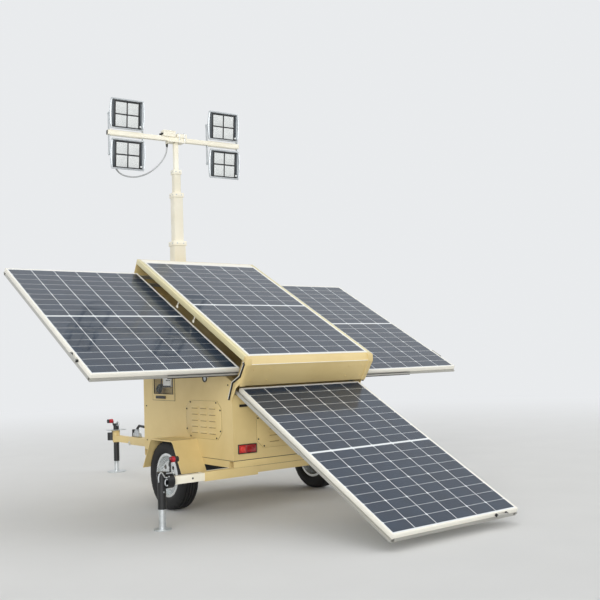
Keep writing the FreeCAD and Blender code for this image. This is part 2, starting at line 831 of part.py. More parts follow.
node("battery_block", box("battery", ("-battery_width / 2", "battery_width / 2"),
                          ("battery_rear", "battery_rear + battery_length"),
                          ("cabinet_bottom + cabinet_sheet",
                           "cabinet_bottom + cabinet_sheet + battery_height")))

# Louvred vent panels, one on each side wall and a longer one on the rear: eight-sided plates
# with pressed hoods.
LOUVRE_ROWS = 5
HOOD_TURNS = {
    "y": FreeCAD.Rotation(FreeCAD.Vector(1, 0, 0), 90),
    "x": FreeCAD.Rotation(FreeCAD.Vector(1, 1, 1), 120),
}


def octagon(low_h, high_h, low_v, high_v, chamfer):
    return [("%s + %s" % (low_h, chamfer), low_v), ("%s - %s" % (high_h, chamfer), low_v),
            (high_h, "%s + %s" % (low_v, chamfer)), (high_h, "%s - %s" % (high_v, chamfer)),
            ("%s - %s" % (high_h, chamfer), high_v), ("%s + %s" % (low_h, chamfer), high_v),
            (low_h, "%s - %s" % (high_v, chamfer)), (low_h, "%s + %s" % (low_v, chamfer))]


def louvres(name, along, columns, pitch, middle, middle_z, face):
    """Rows of hoods on a plate: along is the axis that they lie on, face is how far out it is."""
    hoods = []
    for column in range(columns):
        for row in range(LOUVRE_ROWS):
            centre = "%s + (%g) * %s" % (middle, column - (columns - 1) / 2, pitch)
            foot = "%s - louvre_height / 2 + (%d) * louvre_rise" % (middle_z, row - LOUVRE_ROWS // 2)
            hood = doc.addObject("Part::Wedge", "%s_%d_%d" % (name, column, row))
            bind(hood, Xmin=0, Ymin=0, Zmin=0, Xmax="louvre_depth", Ymax="louvre_height",
                 Zmax="louvre_length", Z2min=0, Z2max="louvre_length", X2min="louvre_depth",
                 X2max="louvre_depth")
            hood.Placement = FreeCAD.Placement(FreeCAD.Vector(), HOOD_TURNS[along])
            if along == "y":
                move(hood, face + " - louvre_depth", centre + " + louvre_length / 2", foot)
            else:
                move(hood, centre + " - louvre_length / 2", face + " - louvre_depth", foot)
            hoods.append(hood)
    return hoods


side_face = "-cabinet_half - vent_sheet"
side_vent = side_profile("side_vent_plate", [octagon(*vent_y, *vent_z, "vent_chamfer")],
                         (side_face, "-cabinet_half"))
left_vent = fuse("left_vent", side_vent, *louvres("side_louvre", "y", 3, "louvre_pitch",
                                                  "vent_middle_y", "vent_middle_z", side_face))
rear_plate = pad("rear_vent_plate", "XZ_Plane",
                 [octagon("-rear_vent_length / 2", "rear_vent_length / 2",
                          "rear_vent_middle_z - vent_height / 2",
                          "rear_vent_middle_z + vent_height / 2", "vent_chamfer")],
                 "-cabinet_rear", "vent_sheet")
rear_vent = fuse("rear_vent", rear_plate, *louvres("rear_louvre", "x", 5, "rear_louvre_pitch", "0",
                                                   "rear_vent_middle_z",
                                                   "cabinet_rear - vent_sheet"))
node("vent_panels", left_vent, mirrored(left_vent), rear_vent)

# Controls: a tray behind the left wall's hatch, its unit, and the hatch's lid.
tray_y = ("door_rear + door_lap", "door_front - door_lap")
tray_z = ("door_bottom + door_lap", "door_top - door_lap")
tray_x = ("-wall_inside", "-wall_inside + tray_depth")
tray_inside = [("-wall_inside - overcut", "-wall_inside + tray_depth - cabinet_sheet"),
               tuple(e + s for e, s in zip(tray_y, (" + cabinet_sheet", " - cabinet_sheet"))),
               tuple(e + s for e, s in zip(tray_z, (" + cabinet_sheet", " - cabinet_sheet")))]
tray = cut("tray", box("tray_block", tray_x, tray_y, tray_z), box("tray_space", *tray_inside))
tray_back = "-wall_inside + tray_depth - cabinet_sheet"
unit_y = "door_rear + unit_start"
unit_z = "door_bottom + unit_sill"
unit = box("unit", (tray_back + " - unit_depth", tray_back), (unit_y, unit_y + " + unit_length"),
           (unit_z, unit_z + " + unit_height"))
node("control_box", fuse("tray_and_unit", tray, unit))

lid_x = ("-cabinet_half - door_gap - door_sheet", "-cabinet_half - door_gap")
window = ("door_rear + window_margin", "door_front - window_margin",
          "door_bottom + window_sill", "door_top - window_margin")
lid = side_profile("lid", [rectangle("door_rear", "door_front", "door_bottom", "door_top"),
                           rectangle(*window)], lid_x)
grip_y = "door_rear + grip_start"
grip_z = "door_bottom + grip_sill"
grip = box("grip", (lid_x[0] + " - grip_depth", lid_x[0]), (grip_y, grip_y + " + grip_length"),
           (grip_z, grip_z + " + grip_height"))
hinge = rod("lid_hinge", "y", "hinge_radius", lid_x[1] + " - hinge_radius",
            ("door_rear", "door_front"), "door_top + hinge_rise")
node("control_lid", fuse("lid_with_grip", lid, grip, hinge))
pane = [window[0] + " + seat_gap", window[1] + " - seat_gap", window[2] + " + seat_gap",
        window[3] + " - seat_gap"]
node("lid_window", side_profile("pane", [rectangle(*pane)], lid_x))

lamp_edge = "-cabinet_half + tail_lamp_inset"
lamp = box("tail_lamp", (lamp_edge, lamp_edge + " + tail_lamp_width"),
           ("cabinet_rear - tail_lamp_depth", "cabinet_rear"),
           ("tail_lamp_bottom", "tail_lamp_bottom + tail_lamp_height"))
node("tail_lamps", lamp, mirrored(lamp))

# Chassis.
frame_x = ("-cabinet_half", "-cabinet_half + rail_width")
rail_y = ("cabinet_rear + rear_beam_depth", "cabinet_front - crossmember_width")
rail_z = ("rail_bottom", "cabinet_bottom")
channel_hollow = box("channel_hollow", ("-cabinet_half + rail_wall",
                                        "-cabinet_half + rail_width + overcut"),
                     ("cabinet_rear", "cabinet_front"),
                     ("rail_bottom + rail_wall", "cabinet_bottom - rail_wall"))
side_rail = cut("side_rail", box("side_rail_block", frame_x, rail_y, rail_z), channel_hollow)
node("side_rails", side_rail, mirrored(side_rail))

spine_hole = box("spine_hole", ("-spine_size / 2", "spine_size / 2"),
                 ("spine_rear", "spine_front"), ("spine_bottom", "spine_top"))
inner_x = ("-cabinet_half + rail_width", "cabinet_half - rail_width")
members = []
for i, (start, across) in enumerate((("cabinet_front - crossmember_width",
                                      ("-cabinet_half", "cabinet_half")),
                                     ("(spine_rear + cabinet_front) / 2", inner_x),
                                     ("spine_rear", inner_x),
                                     ("(cabinet_rear + spine_rear) / 2", inner_x))):
    blank = square_tube("member_%d" % i, across, (start, start + " + crossmember_width"), rail_z,
                        "rail_wall", "x")
    members.append(cut("member_%d_cut" % i, blank, spine_hole))
rear_beam = fuse("rear_beam",
                 square_tube("rear_beam_upper", ("-cabinet_half", "cabinet_half"),
                             ("cabinet_rear", "cabinet_rear + rear_beam_depth"), rail_z,
                             "rail_wall", "x"),
                 square_tube("rear_beam_lower", ("-sleeve_inner_end", "sleeve_inner_end"),
                             ("cabinet_rear", "cabinet_rear + rear_beam_depth"),
                             ("cabinet_bottom - rear_beam_height", "rail_bottom"), "rail_wall",
                             "x"))
sleeve_y = ("outrigger_y - sleeve_size / 2", "outrigger_y + sleeve_size / 2")
sleeve = square_tube("sleeve", ("-sleeve_outer_end", "-sleeve_inner_end"), sleeve_y,
                     ("sleeve_bottom", "sleeve_bottom + sleeve_size"), "sleeve_wall", "x")
node("crossmembers", *members)
node("rear_beam_and_sleeves", fuse("rear_beam_welded", rear_beam, sleeve, mirrored(sleeve)))

spine = square_tube("spine", ("-spine_size / 2", "spine_size / 2"), ("spine_rear", "spine_front"),
                    ("spine_bottom", "spine_top"), "spine_wall", "y")
bar = square_tube("drawbar_tube", ("-drawbar_size / 2", "drawbar_size / 2"),
                  ("drawbar_rear", "tow_jack_y"),
                  ("drawbar_bottom", "drawbar_bottom + drawbar_size"), "drawbar_wall", "y")
socket_z = ("drawbar_bottom - socket_wall", "jack_plate_height")
socket = rod("jack_socket", "z", "jack_radius + socket_wall", "0", "tow_jack_y", socket_z)
jack_plate = box("jack_plate", ("-jack_plate_width / 2", "jack_plate_width / 2"),
                 ("tow_jack_y - jack_plate_length / 2", "tow_jack_y + jack_plate_length / 2"),
                 ("jack_plate_height", "jack_plate_height + jack_plate_sheet"))
socket_bore = rod("socket_bore", "z", "jack_radius", "0", "tow_jack_y",
                  (socket_z[0] + " - overcut", "jack_plate_height + jack_plate_sheet + overcut"))
node("drawbar", spine, cut("drawbar_end", fuse("drawbar_blank", bar, socket, jack_plate),
                           socket_bore))

ball_y = "coupler_tip - coupler_width / 2"
ball_z = "drawbar_bottom + ball_rise"
cup_bottom = "drawbar_bottom + cup_rise"
shank = box("coupler_shank", ("-coupler_width / 2 + shank_inset", "coupler_width / 2 - shank_inset"),
            ("coupler_tip - coupler_length - shank_lap", ball_y),
            ("shank_bottom", "shank_bottom + shank_height"))
cup = rod("coupler_cup", "z", "coupler_width / 2", "0", ball_y,
          (cup_bottom, cup_bottom + " + cup_height"))
ball_space = doc.addObject("Part::Sphere", "ball_space")
bind(ball_space, Radius="ball_radius + ball_play")
move(ball_space, 0, ball_y, ball_z)
throat = rod("coupler_throat", "z", "ball_radius + ball_play", "0", ball_y,
             ("drawbar_bottom - overcut", ball_z))
socket_clear = rod("socket_clear", "z", "jack_radius + socket_wall", "0", "tow_jack_y",
                   (socket_z[0] + " - overcut", cup_bottom + " + cup_height + overcut"))
node("tow_coupler", cut("coupler", fuse("coupler_body", shank, cup), ball_space, throat,
                        socket_clear))

lever_line = [("lever_foot", "spine_top + lever_foot_rise"),
              ("lever_elbow", "spine_top + lever_elbow_rise"),
              ("lever_tip", "spine_top + lever_tip_rise")]
lever_back = [(y, z + " + lever_thick") for y, z in reversed(lever_line)]
lever = side_profile("brake_lever", [lever_line + lever_back], ("-lever_width / 2", "lever_width / 2"))
lever_base = box("brake_base", ("-brake_width / 2", "brake_width / 2"),
                 ("brake_rear", "brake_rear + brake_length"), ("spine_top", "spine_top + brake_height"))
node("handbrake", fuse("brake", lever_base, lever))

axle_foot = "spine_bottom - axle_size"
tube_y = ("axle_y + axle_lead - axle_size / 2", "axle_y + axle_lead + axle_size / 2")
axle_tube = square_tube("axle_tube", ("-axle_half", "axle_half"), tube_y,
                        (axle_foot, "spine_bottom"), "axle_wall", "x")
arm_end = "axle_y + axle_lead + arm_tail"
arm = side_profile("axle_arm", [[("axle_y - arm_nose", "tyre_radius - arm_half"),
                                 (arm_end + " - arm_corner", axle_foot),
                                 (arm_end, axle_foot + " + arm_corner"),
                                 (arm_end, "spine_bottom - arm_corner"),
                                 (arm_end + " - arm_corner", "spine_bottom"),
                                 ("axle_y - arm_nose", "tyre_radius + arm_half")]],
                   ("-axle_half - arm_width", "-axle_half"))
spindle = rod("spindle", "x", "spindle_radius", ("-(track_half + spindle_end)", "-axle_half"),
              "axle_y", "tyre_radius")
bracket_low = "-cabinet_half + bracket_inset"
bracket = box("axle_bracket", (bracket_low, bracket_low + " + bracket_width"),
              centred("bracket_length", "axle_y + axle_lead"), ("spine_bottom", "rail_bottom"))
half = fuse("axle_side", arm, spindle, bracket)
node("torsion_axle", fuse("axle", axle_tube, half, mirrored(half)))

fender_outside = [("axle_y + fender_half_foot", "fender_foot"),
                  ("axle_y + fender_half_top", "fender_top"),
                  ("axle_y - fender_half_top", "fender_top"),
                  ("axle_y - fender_half_foot", "fender_foot")]
fender_inside = [("axle_y - fender_half_foot + fender_slant", "fender_foot"),
                 ("axle_y - fender_half_top + fender_corner", "fender_top - fender_sheet"),
                 ("axle_y + fender_half_top - fender_corner", "fender_top - fender_sheet"),
                 ("axle_y + fender_half_foot - fender_slant", "fender_foot")]
fender = side_profile("fender", [fender_outside + fender_inside], ("-fender_outer", "-cabinet_half"))
node("fenders", fender, mirrored(fender))

# Wheels, drawn about the X axis with the outer side towards +X.
half_tyre = "tyre_width / 2"
bead = "rim_width / 2 - rim_wall"
tyre_half = [(bead + " - seat_gap", "rim_radius"), (bead + " - seat_gap", "rim_radius + bead_height"),
             (half_tyre, "rim_radius + sidewall_height"), (half_tyre, "tyre_radius - shoulder_height"),
             (half_tyre + " - shoulder_in", "tyre_radius - tread_drop"),
             (half_tyre + " - 2 * shoulder_in", "tyre_radius")]
tyre = turned("tyre", [tyre_half + [("-(%s)" % x, r) for x, r in tyre_half[::-1]]])
flange = "rim_radius + flange_height"
barrel = "rim_radius - rim_wall"
hub_face = "disc_out + hub_rise"
bore = "spindle_radius + hub_play"
rim_line = [("-rim_width / 2", flange), ("-rim_width / 2 + rim_wall", flange),
            ("-rim_width / 2 + rim_wall", "rim_radius"),
            (bead, "rim_radius"), (bead, flange), ("rim_width / 2", flange),
            ("rim_width / 2", barrel), ("disc_out - disc_slope", barrel),
            ("disc_out + disc_sheet", "rim_radius - disc_ring"),
            ("disc_out + disc_sheet", "hub_radius"), (hub_face, "hub_radius - hub_chamfer"),
            (hub_face, "0"), (hub_face + " - hub_cap_sheet", "0"),
            (hub_face + " - hub_cap_sheet", bore), ("-hub_inner_end", bore),
            ("-hub_inner_end", "hub_radius"), ("disc_out", "hub_radius"),
            ("disc_out", "rim_radius - disc_back_ring"), ("disc_out - disc_back_slope", barrel),
            ("-rim_width / 2", barrel)]
rim_blank = turned("rim_blank", [rim_line])
RIM_WINDOWS = 8
windows = []
for i in range(RIM_WINDOWS):
    angle = i * 360 / RIM_WINDOWS
    windows.append(rod("rim_window_%d" % i, "x", "rim_window_radius",
                       ("0", "disc_out + disc_sheet + overcut"),
                       "rim_window_circle * cos(%g)" % angle, "rim_window_circle * sin(%g)" % angle))
rim = cut("rim", rim_blank, *windows)
for side in ("left", "right"):
    for label, piece in (("tyre", tyre), ("rim", rim)):
        placed = doc.addObject("Part::Compound", "%s_%s_placed" % (side, label))
        placed.Links = [piece if side == "right" else mirrored(piece)]
        move(placed, "track_half" if side == "right" else "-track_half", "axle_y", "tyre_radius")
        node("%s_%s" % (side, label), placed)

# Jacks: a tube with a leg in it, a foot, and a crank on top.


def crank(name, side, x, y, head, reach, rise):
    # side is the way that the crank points, + or -

    def outward(low, high):
        ends = ["(%s) %s (%s)" % (x, side, end) for end in (low, high)]
        return tuple(ends if side == "+" else ends[::-1])

    middle = head + " + jack_cap_height / 2"
    knob_z = "%s + %s" % (head, rise)
    return fuse(name, rod(name + "_shaft", "x", "crank_shaft", outward("0", reach), y, middle),
                rod(name + "_arm", "z", "crank_radius", "(%s) %s %s" % (x, side, reach), y,
                    (middle, knob_z)),
                rod(name + "_knob", "x", "crank_grip_radius",
                    outward(reach + " + crank_grip_start", reach + " + crank_grip_end"), y, knob_z))


def jack(prefix, x, y, foot, head, foot_radius, leg_top, *fittings):
    tube = round_tube(prefix + "_tube_part", "jack_radius", "jack_wall", x, y, (foot, head))
    cap = rod(prefix + "_cap", "z", "jack_radius + jack_cap_lap", x, y,
              (head, head + " + jack_cap_height"))
    leg = round_tube(prefix + "_leg_part", "leg_radius", "leg_wall", x, y,
                     ("foot_thick", leg_top))
    plate = rod(prefix + "_plate", "z", foot_radius, x, y, ("0", "foot_thick"))
    return fuse(prefix + "_tube_all", tube, cap, *fittings), fuse(prefix + "_leg_all", leg, plate)


tow_crank = crank("tow_crank", "-", "0", "tow_jack_y", "tow_jack_head", "tow_crank_reach",
                  "tow_crank_rise")
tow_tube, tow_leg = jack("tow_jack", "0", "tow_jack_y", "tow_jack_foot", "tow_jack_head",
                         "tow_foot_radius", "tow_leg_top", tow_crank)
node("tow_jack_tube", tow_tube)
node("tow_jack_leg", tow_leg)
for side, sign, inward in (("left", "-", "+"), ("right", "", "-")):
    x = sign + "rear_jack_x"
    rear_crank = crank(side + "_crank", inward, x, "outrigger_y", "rear_jack_head",
                       "rear_crank_reach", "rear_crank_rise")
    plate_x = sorted(("%s %s (jack_radius - jack_wall / 2)" % (x, inward),
                      "%s %s (jack_radius + swivel_length)" % (x, inward)), key=now)
    swivel = rod(side + "_swivel", "x", "swivel_radius", plate_x, "outrigger_y",
                 "beam_bottom + beam_size / 2")
    tube_part, leg = jack(side + "_jack", x, "outrigger_y", "rear_jack_foot", "rear_jack_head",
                          "rear_foot_radius", "rear_leg_top", rear_crank, swivel)
    node(side + "_jack_tube", tube_part)
    node(side + "_jack_leg", leg)
    ends = sorted((sign + "beam_inner_end", sign + "beam_outer_end"), key=now)
    node(side + "_outrigger_beam",
         square_tube(side + "_beam", ends, centred("beam_size", "outrigger_y"),
                     ("beam_bottom", "beam_bottom + beam_size"), "beam_wall", "x"))

# Mast: a base on the spine and four nested square tubes, each with a guide collar.
MAST = [
    {"name": "mast_section_1", "outer": "mast_1", "inner": "mast_2", "top": "mast_1_top",
     "foot": "spine_top + 2 * mast_plate"},
    {"name": "mast_section_2", "outer": "mast_2", "inner": "mast_3", "top": "mast_2_top",
     "foot": "mast_2_top - mast_inner_length"},
    {"name": "mast_section_3", "outer": "mast_3", "inner": "mast_4", "top": "mast_3_top",
     "foot": "mast_3_top - mast_inner_length"},
    {"name": "mast_section_4", "outer": "mast_4", "inner": None, "top": "mast_4_top",
     "foot": "mast_4_top - mast_inner_length"},
]
for row in MAST:
    shaft = square_tube(row["name"] + "_shaft", centred(row["outer"]),
                        centred(row["outer"], "mast_y"), (row["foot"], row["top"]),
                        "mast_wall", "z")
    if row["inner"]:
        grip = row["outer"] + " + 2 * collar_lip"
        collar = box(row["name"] + "_collar", centred(grip), centred(grip, "mast_y"),
                     (row["top"] + " - collar_height", row["top"] + " + collar_lip"))
        gap = row["inner"] + " + 2 * slide_play"
        bore = box(row["name"] + "_guide", centred(gap), centred(gap, "mast_y"),
                   (row["top"] + " - collar_height - overcut",
                    row["top"] + " + collar_lip + overcut"))
        shaft = cut(row["name"] + "_part", fuse(row["name"] + "_blank", shaft, collar), bore)
    else:
        lid = box("mast_cap", centred("mast_4"), centred("mast_4", "mast_y"),
                  ("mast_4_top - mast_wall", "mast_4_top"))
        shaft = fuse("mast_section_4_part", shaft, lid)
    node(row["name"], shaft, on_mast=True)

plate_top = "spine_top + mast_plate"
base_plate = box("mast_base_plate", centred("base_plate_width"),
                 centred("base_plate_width", "mast_y"), ("spine_top", plate_top))
turntable = rod("turntable", "z", "turntable_radius", "0", "mast_y",
                (plate_top + " + seat_gap", plate_top + " + mast_plate"))
node("mast_base", base_plate, turntable)

winch_back = "mast_y + mast_1 / 2"
winch_y = winch_back + " + winch_out"
drum = rod("winch_drum", "x", "drum_radius", ("-drum_half", "drum_half"), winch_y, "winch_height")
cheek = box("winch_cheek", ("-drum_half - winch_sheet", "-drum_half"),
            (winch_back, winch_back + " + winch_depth"), centred("2 * winch_half_height", "winch_height"))
arm_end = "winch_arm_out + winch_sheet"
winch_shaft = rod("winch_shaft", "x", "winch_shaft_radius", ("drum_half", arm_end), winch_y,
                  "winch_height")
winch_arm = box("winch_arm", ("winch_arm_out", arm_end), centred("winch_arm_width", winch_y),
                ("winch_height - winch_arm_reach", "winch_height + winch_arm_rise"))
winch_grip = rod("winch_grip", "x", "winch_grip_radius", (arm_end, arm_end + " + winch_grip_length"),
                 winch_y, "winch_height - winch_throw")
node("mast_winch", fuse("winch", drum, cheek, mirrored(cheek), winch_shaft, winch_arm, winch_grip),
     on_mast=True)

# Mast head, crossbar and four flood lamps on yokes.
bar_top = "bar_bottom + bar_size"
head_plate = box("head_plate", centred("head_width"), centred("head_length", "mast_y"),
                 ("mast_4_top", "bar_bottom"))
junction = box("junction_box", ("-head_gap - junction_width", "-head_gap"),
               centred("junction_length", "mast_y"), (bar_top, bar_top + " + junction_height"))
clamp = box("bar_clamp", ("head_gap", "head_gap + clamp_width"), centred("clamp_length", "mast_y"),
            (bar_top, bar_top + " + clamp_height"))
gland_y = "mast_y + gland_out"
gland = rod("cable_gland", "z", "gland_radius", "-gland_x", gland_y,
            ("bar_bottom - gland_drop", "bar_bottom - gland_drop + gland_height"))
gland_arm = box("gland_arm", centred("gland_arm_width", "-gland_x"),
                ("mast_y + bar_size / 2", gland_y), ("bar_bottom", "bar_bottom + gland_arm_sheet"))
node("mast_head", head_plate, junction, clamp, on_mast=True)
bar_y = centred("bar_size", "mast_y")
crossbar = square_tube("bar", centred("bar_length"), bar_y, ("bar_bottom", bar_top), "bar_wall", "x")

lamp_front = "mast_y - lamp_face"
lamp_back = "mast_y - lamp_face + lamp_depth"
lens_back = "mast_y - lamp_face + lens_recess"
yoke_y = centred("yoke_width", "mast_y")
housings = []
lenses = []
yokes = []
for column in ("-", ""):
    across = centred("lamp_width", column + "lamp_x")
    for level, foot in (("high", "lamp_foot_high"), ("low", "lamp_top_low - lamp_height")):
        name = "lamp_%s_%s" % (level, "left" if column else "right")
        height = (foot, foot + " + lamp_height")
        body = box(name, across, (lamp_front, lamp_back), height)
        face = [tuple(e + s for e, s in zip(span, (" + lens_margin", " - lens_margin")))
                for span in (across, height)]
        recess = box(name + "_recess", face[0], (lamp_front + " - overcut", lens_back), face[1])
        if column and level == "low":
            inlet_z = "bar_bottom - inlet_drop"
            inlet = box("lamp_inlet", centred("inlet_size", "-inlet_x"),
                        (lamp_back, lamp_back + " + inlet_size"), (inlet_z, inlet_z + " + inlet_height"))
            body = fuse("lamp_with_inlet", body, inlet)
        housings.append(cut(name + "_housing", body, recess))
        glass = [tuple(e + s for e, s in zip(span, (" + seat_gap", " - seat_gap")))
                 for span in face]
        lenses.append(box(name + "_lens", glass[0], (lens_back + " - lens_depth", lens_back), glass[1]))
        middle = foot + " + lamp_height / 2"
        if level == "high":
            base = (bar_top, bar_top + " + yoke_sheet")
            rise = (bar_top, middle + " + yoke_past_pivot")
        else:
            base = ("bar_bottom - yoke_sheet", "bar_bottom")
            rise = (middle + " - yoke_past_pivot", "bar_bottom")
        reach = ("%s - seat_gap - yoke_sheet" % across[0], "%s + seat_gap + yoke_sheet" % across[1])
        yokes += [box(name + "_yoke_base", reach, yoke_y, base),
                  box(name + "_yoke_a", (reach[0], reach[0] + " + yoke_sheet"), yoke_y, rise),
                  box(name + "_yoke_b", (reach[1] + " - yoke_sheet", reach[1]), yoke_y, rise)]
node("crossbar", fuse("bar_and_yokes", crossbar, gland, gland_arm, *yokes), on_mast=True)
node("lamp_housings", *housings, on_mast=True)
node("lamp_lenses", *lenses, on_mast=True)

# The cable hangs free from the gland to the back of the lower left lamp.
CABLE_ROUTE = [(-60, 60, -14), (-60, 60, -68), (-86, 59, -140), (-136, 57, -208),
               (-204, 54, -272), (-286, 50, -324), (-374, 45, -354), (-462, 40, -358),
               (-530, 36, -340), (-570, 31, -304), (-584, 28, -256), (-584, 28, -206)]
# the share of the shorter run that a bend takes at each corner
BEND_SHARE = 0.45


def cable_wire(points):
    """Straight runs joined by tangent arcs, each as large as its runs allow."""
    edges = []
    start = points[0]
    for before, corner, after in zip(points, points[1:], points[2:]):
        back, ahead = before - corner, after - corner
        shorter = min(back.Length, ahead.Length)
        turn = FreeCAD.Vector(back).negative().getAngle(ahead)
        cutback = BEND_SHARE * shorter
        back.normalize()
        ahead.normalize()
        first, last = corner + back * cutback, corner + ahead * cutback
        radius = cutback / math.tan(turn / 2)
        inward = (back + ahead).normalize()
        middle = corner + inward * (radius / math.cos(turn / 2) - radius)
        edges += [Part.LineSegment(start, first).toShape(), Part.Arc(first, middle, last).toShape()]
        start = last
    edges.append(Part.LineSegment(start, points[-1]).toShape())
    return Part.Wire(edges)


route = [FreeCAD.Vector(x, now("mast_y") + y, now("bar_bottom") + z) for x, y, z in CABLE_ROUTE]
wire = cable_wire(route)
section = Part.Wire(Part.Circle(route[0], route[1] - route[0], now("cable_radius")).toShape())
cable = doc.addObject("Part::Feature", "cable_tube")
cable.Shape = wire.makePipeShell([section], True, True)
node("lamp_cable", cable, on_mast=True)

doc.recompute()
failed = [o.Label for o in doc.Objects if "Invalid" in o.State or "Error" in o.State]
if failed:
    raise SystemExit("failed: " + ", ".join(failed))
expected = math.pi * now("cable_radius") ** 2 * wire.Length
print("cable %.0f mm, volume %.4f of expected" % (wire.Length, cable.Shape.Volume / expected))
bad = [n.Label for n in NODES if n.Shape.isNull() or not n.Shape.isValid() or not n.Shape.Solids]
if bad:
    raise SystemExit("bad shape: " + ", ".join(bad))
os.makedirs("parts", exist_ok=True)
for finished in NODES:
    finished.Shape.exportStep("parts/%s.step" % finished.Label)
print("%d nodes written" % len(NODES))
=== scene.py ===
import json
import math
import bmesh
import bpy
from mathutils import Matrix, Vector

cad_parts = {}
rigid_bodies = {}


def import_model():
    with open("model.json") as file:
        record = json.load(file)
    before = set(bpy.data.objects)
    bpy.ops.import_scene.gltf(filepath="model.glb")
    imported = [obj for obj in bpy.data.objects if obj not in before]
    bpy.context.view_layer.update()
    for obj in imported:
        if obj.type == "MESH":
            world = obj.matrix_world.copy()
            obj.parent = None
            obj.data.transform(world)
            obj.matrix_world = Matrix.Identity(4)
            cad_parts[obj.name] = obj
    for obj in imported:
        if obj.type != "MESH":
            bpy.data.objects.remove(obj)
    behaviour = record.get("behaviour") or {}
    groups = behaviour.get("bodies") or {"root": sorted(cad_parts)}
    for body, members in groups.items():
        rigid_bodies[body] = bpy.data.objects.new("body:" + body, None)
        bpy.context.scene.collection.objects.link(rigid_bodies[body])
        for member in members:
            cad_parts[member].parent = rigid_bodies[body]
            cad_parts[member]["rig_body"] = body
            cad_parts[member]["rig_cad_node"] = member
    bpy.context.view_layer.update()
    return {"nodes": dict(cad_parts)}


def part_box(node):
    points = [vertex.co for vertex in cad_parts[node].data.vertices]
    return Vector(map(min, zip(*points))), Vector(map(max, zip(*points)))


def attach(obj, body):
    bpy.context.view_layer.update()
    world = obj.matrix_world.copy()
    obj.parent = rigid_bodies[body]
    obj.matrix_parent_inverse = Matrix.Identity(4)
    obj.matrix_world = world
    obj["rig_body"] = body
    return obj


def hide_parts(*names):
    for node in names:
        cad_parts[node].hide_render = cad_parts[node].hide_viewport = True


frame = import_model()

nodes = frame["nodes"]
tilt = math.radians(28.4)
edgeHeight = 1.150          # height of the array's lower edge
shiftY = -0.996475          # the array's lower edge lies this far behind the trailer's middle
wallFace = -0.597           # x of the left wall's outside
rearFace = 0.180 + shiftY   # y of the rear wall's outside

view = {
    "place": (-4.06169, -5.02229 + shiftY, 1.15254),
    "yaw": 38.3257,         # degrees, from +Y towards +X
    "pitch": 3.542,
    "roll": -1.7917,
    "focal": 51.914,        # mm on a 36 mm sensor
}


# Camera, light and floor

def addCamera():
    yaw, pitch, roll = (math.radians(view[key]) for key in ("yaw", "pitch", "roll"))
    ahead = Vector((math.sin(yaw) * math.cos(pitch), math.cos(yaw) * math.cos(pitch), math.sin(pitch)))
    level = Vector((math.cos(yaw), -math.sin(yaw), 0))
    upright = level.cross(ahead)
    right = math.cos(roll) * level + math.sin(roll) * upright
    up = -math.sin(roll) * level + math.cos(roll) * upright
    bpy.ops.object.camera_add(location=view["place"])
    camera = bpy.context.object
    camera.rotation_euler = Matrix((right, up, -ahead)).transposed().to_euler()
    camera.data.lens = view["focal"]
    camera.data.sensor_width = 36
    camera.data.clip_end = 200
    bpy.context.scene.camera = camera


# a wide soft light from far away, so that no lamp makes a hot spot on the floor
def addLamp(name, direction, spread, power):
    bpy.ops.object.light_add(type="SUN", location=direction)
    lamp = bpy.context.object
    lamp.name = name
    lamp.data.angle = math.radians(spread)
    lamp.data.energy = power
    lamp.rotation_euler = (-Vector(direction)).to_track_quat("-Z", "Y").to_euler()


# Material tools

# an sRGB hex value turned to linear
def shade(hexText):
    channels = [int(hexText[i:i + 2], 16) / 255 for i in (1, 3, 5)]
    linear = [c / 12.92 if c <= 0.04045 else ((c + 0.055) / 1.055) ** 2.4 for c in channels]
    return (*linear, 1.0)


def addNode(tree, kind, settings=None, links=None):
    node = tree.nodes.new("ShaderNode" + kind)
    for key, value in (settings or {}).items():
        if key in node.inputs.keys() or isinstance(key, int):
            node.inputs[key].default_value = value
        else:
            setattr(node, key, value)
    for key, source in (links or {}).items():
        tree.links.new(source, node.inputs[key])
    return node


def startMaterial(name):
    material = bpy.data.materials.new(name)
    material.use_nodes = True
    tree = material.node_tree
    tree.nodes.clear()
    place = addNode(tree, "TexCoord").outputs["Object"]
    return material, tree, place


def endMaterial(tree, surface):
    addNode(tree, "OutputMaterial", links={"Surface": surface})


# Powder coat, moulded plastic and plated metal share this build: a body colour with soft
# blotches of dust or patina, a grain in the gloss, and a fine bump.
def coatedFinish(name, colour, blotch, blotchSize, amount, roughness, grainSize, bumpHeight,
                 metallic=0.0, coat=0.0):
    material, tree, place = startMaterial(name)
    cloud = addNode(tree, "TexNoise", {"Scale": 1 / blotchSize, "Detail": 4.0, "Roughness": 0.6},
                    {"Vector": place})
    spread = addNode(tree, "MapRange", {"From Min": 0.42, "From Max": 0.78, "To Max": amount},
                     {"Value": cloud.outputs["Fac"]})
    tint = addNode(tree, "MixRGB", {"Color1": shade(colour), "Color2": shade(blotch)},
                   {"Fac": spread.outputs["Result"]})
    grain = addNode(tree, "TexNoise", {"Scale": 1 / grainSize, "Detail": 2.0}, {"Vector": place})
    gloss = addNode(tree, "MapRange", {"To Min": roughness - 0.06, "To Max": roughness + 0.08},
                    {"Value": grain.outputs["Fac"]})
    relief = addNode(tree, "Bump", {"Strength": 0.35, "Distance": bumpHeight},
                     {"Height": grain.outputs["Fac"]})
    shader = addNode(tree, "BsdfPrincipled", {"Metallic": metallic, "Coat Weight": coat,
                                              "Coat Roughness": 0.12},
                     {"Base Color": tint.outputs["Color"], "Roughness": gloss.outputs["Result"],
                      "Normal": relief.outputs["Normal"]})
    endMaterial(tree, shader.outputs["BSDF"])
    return material


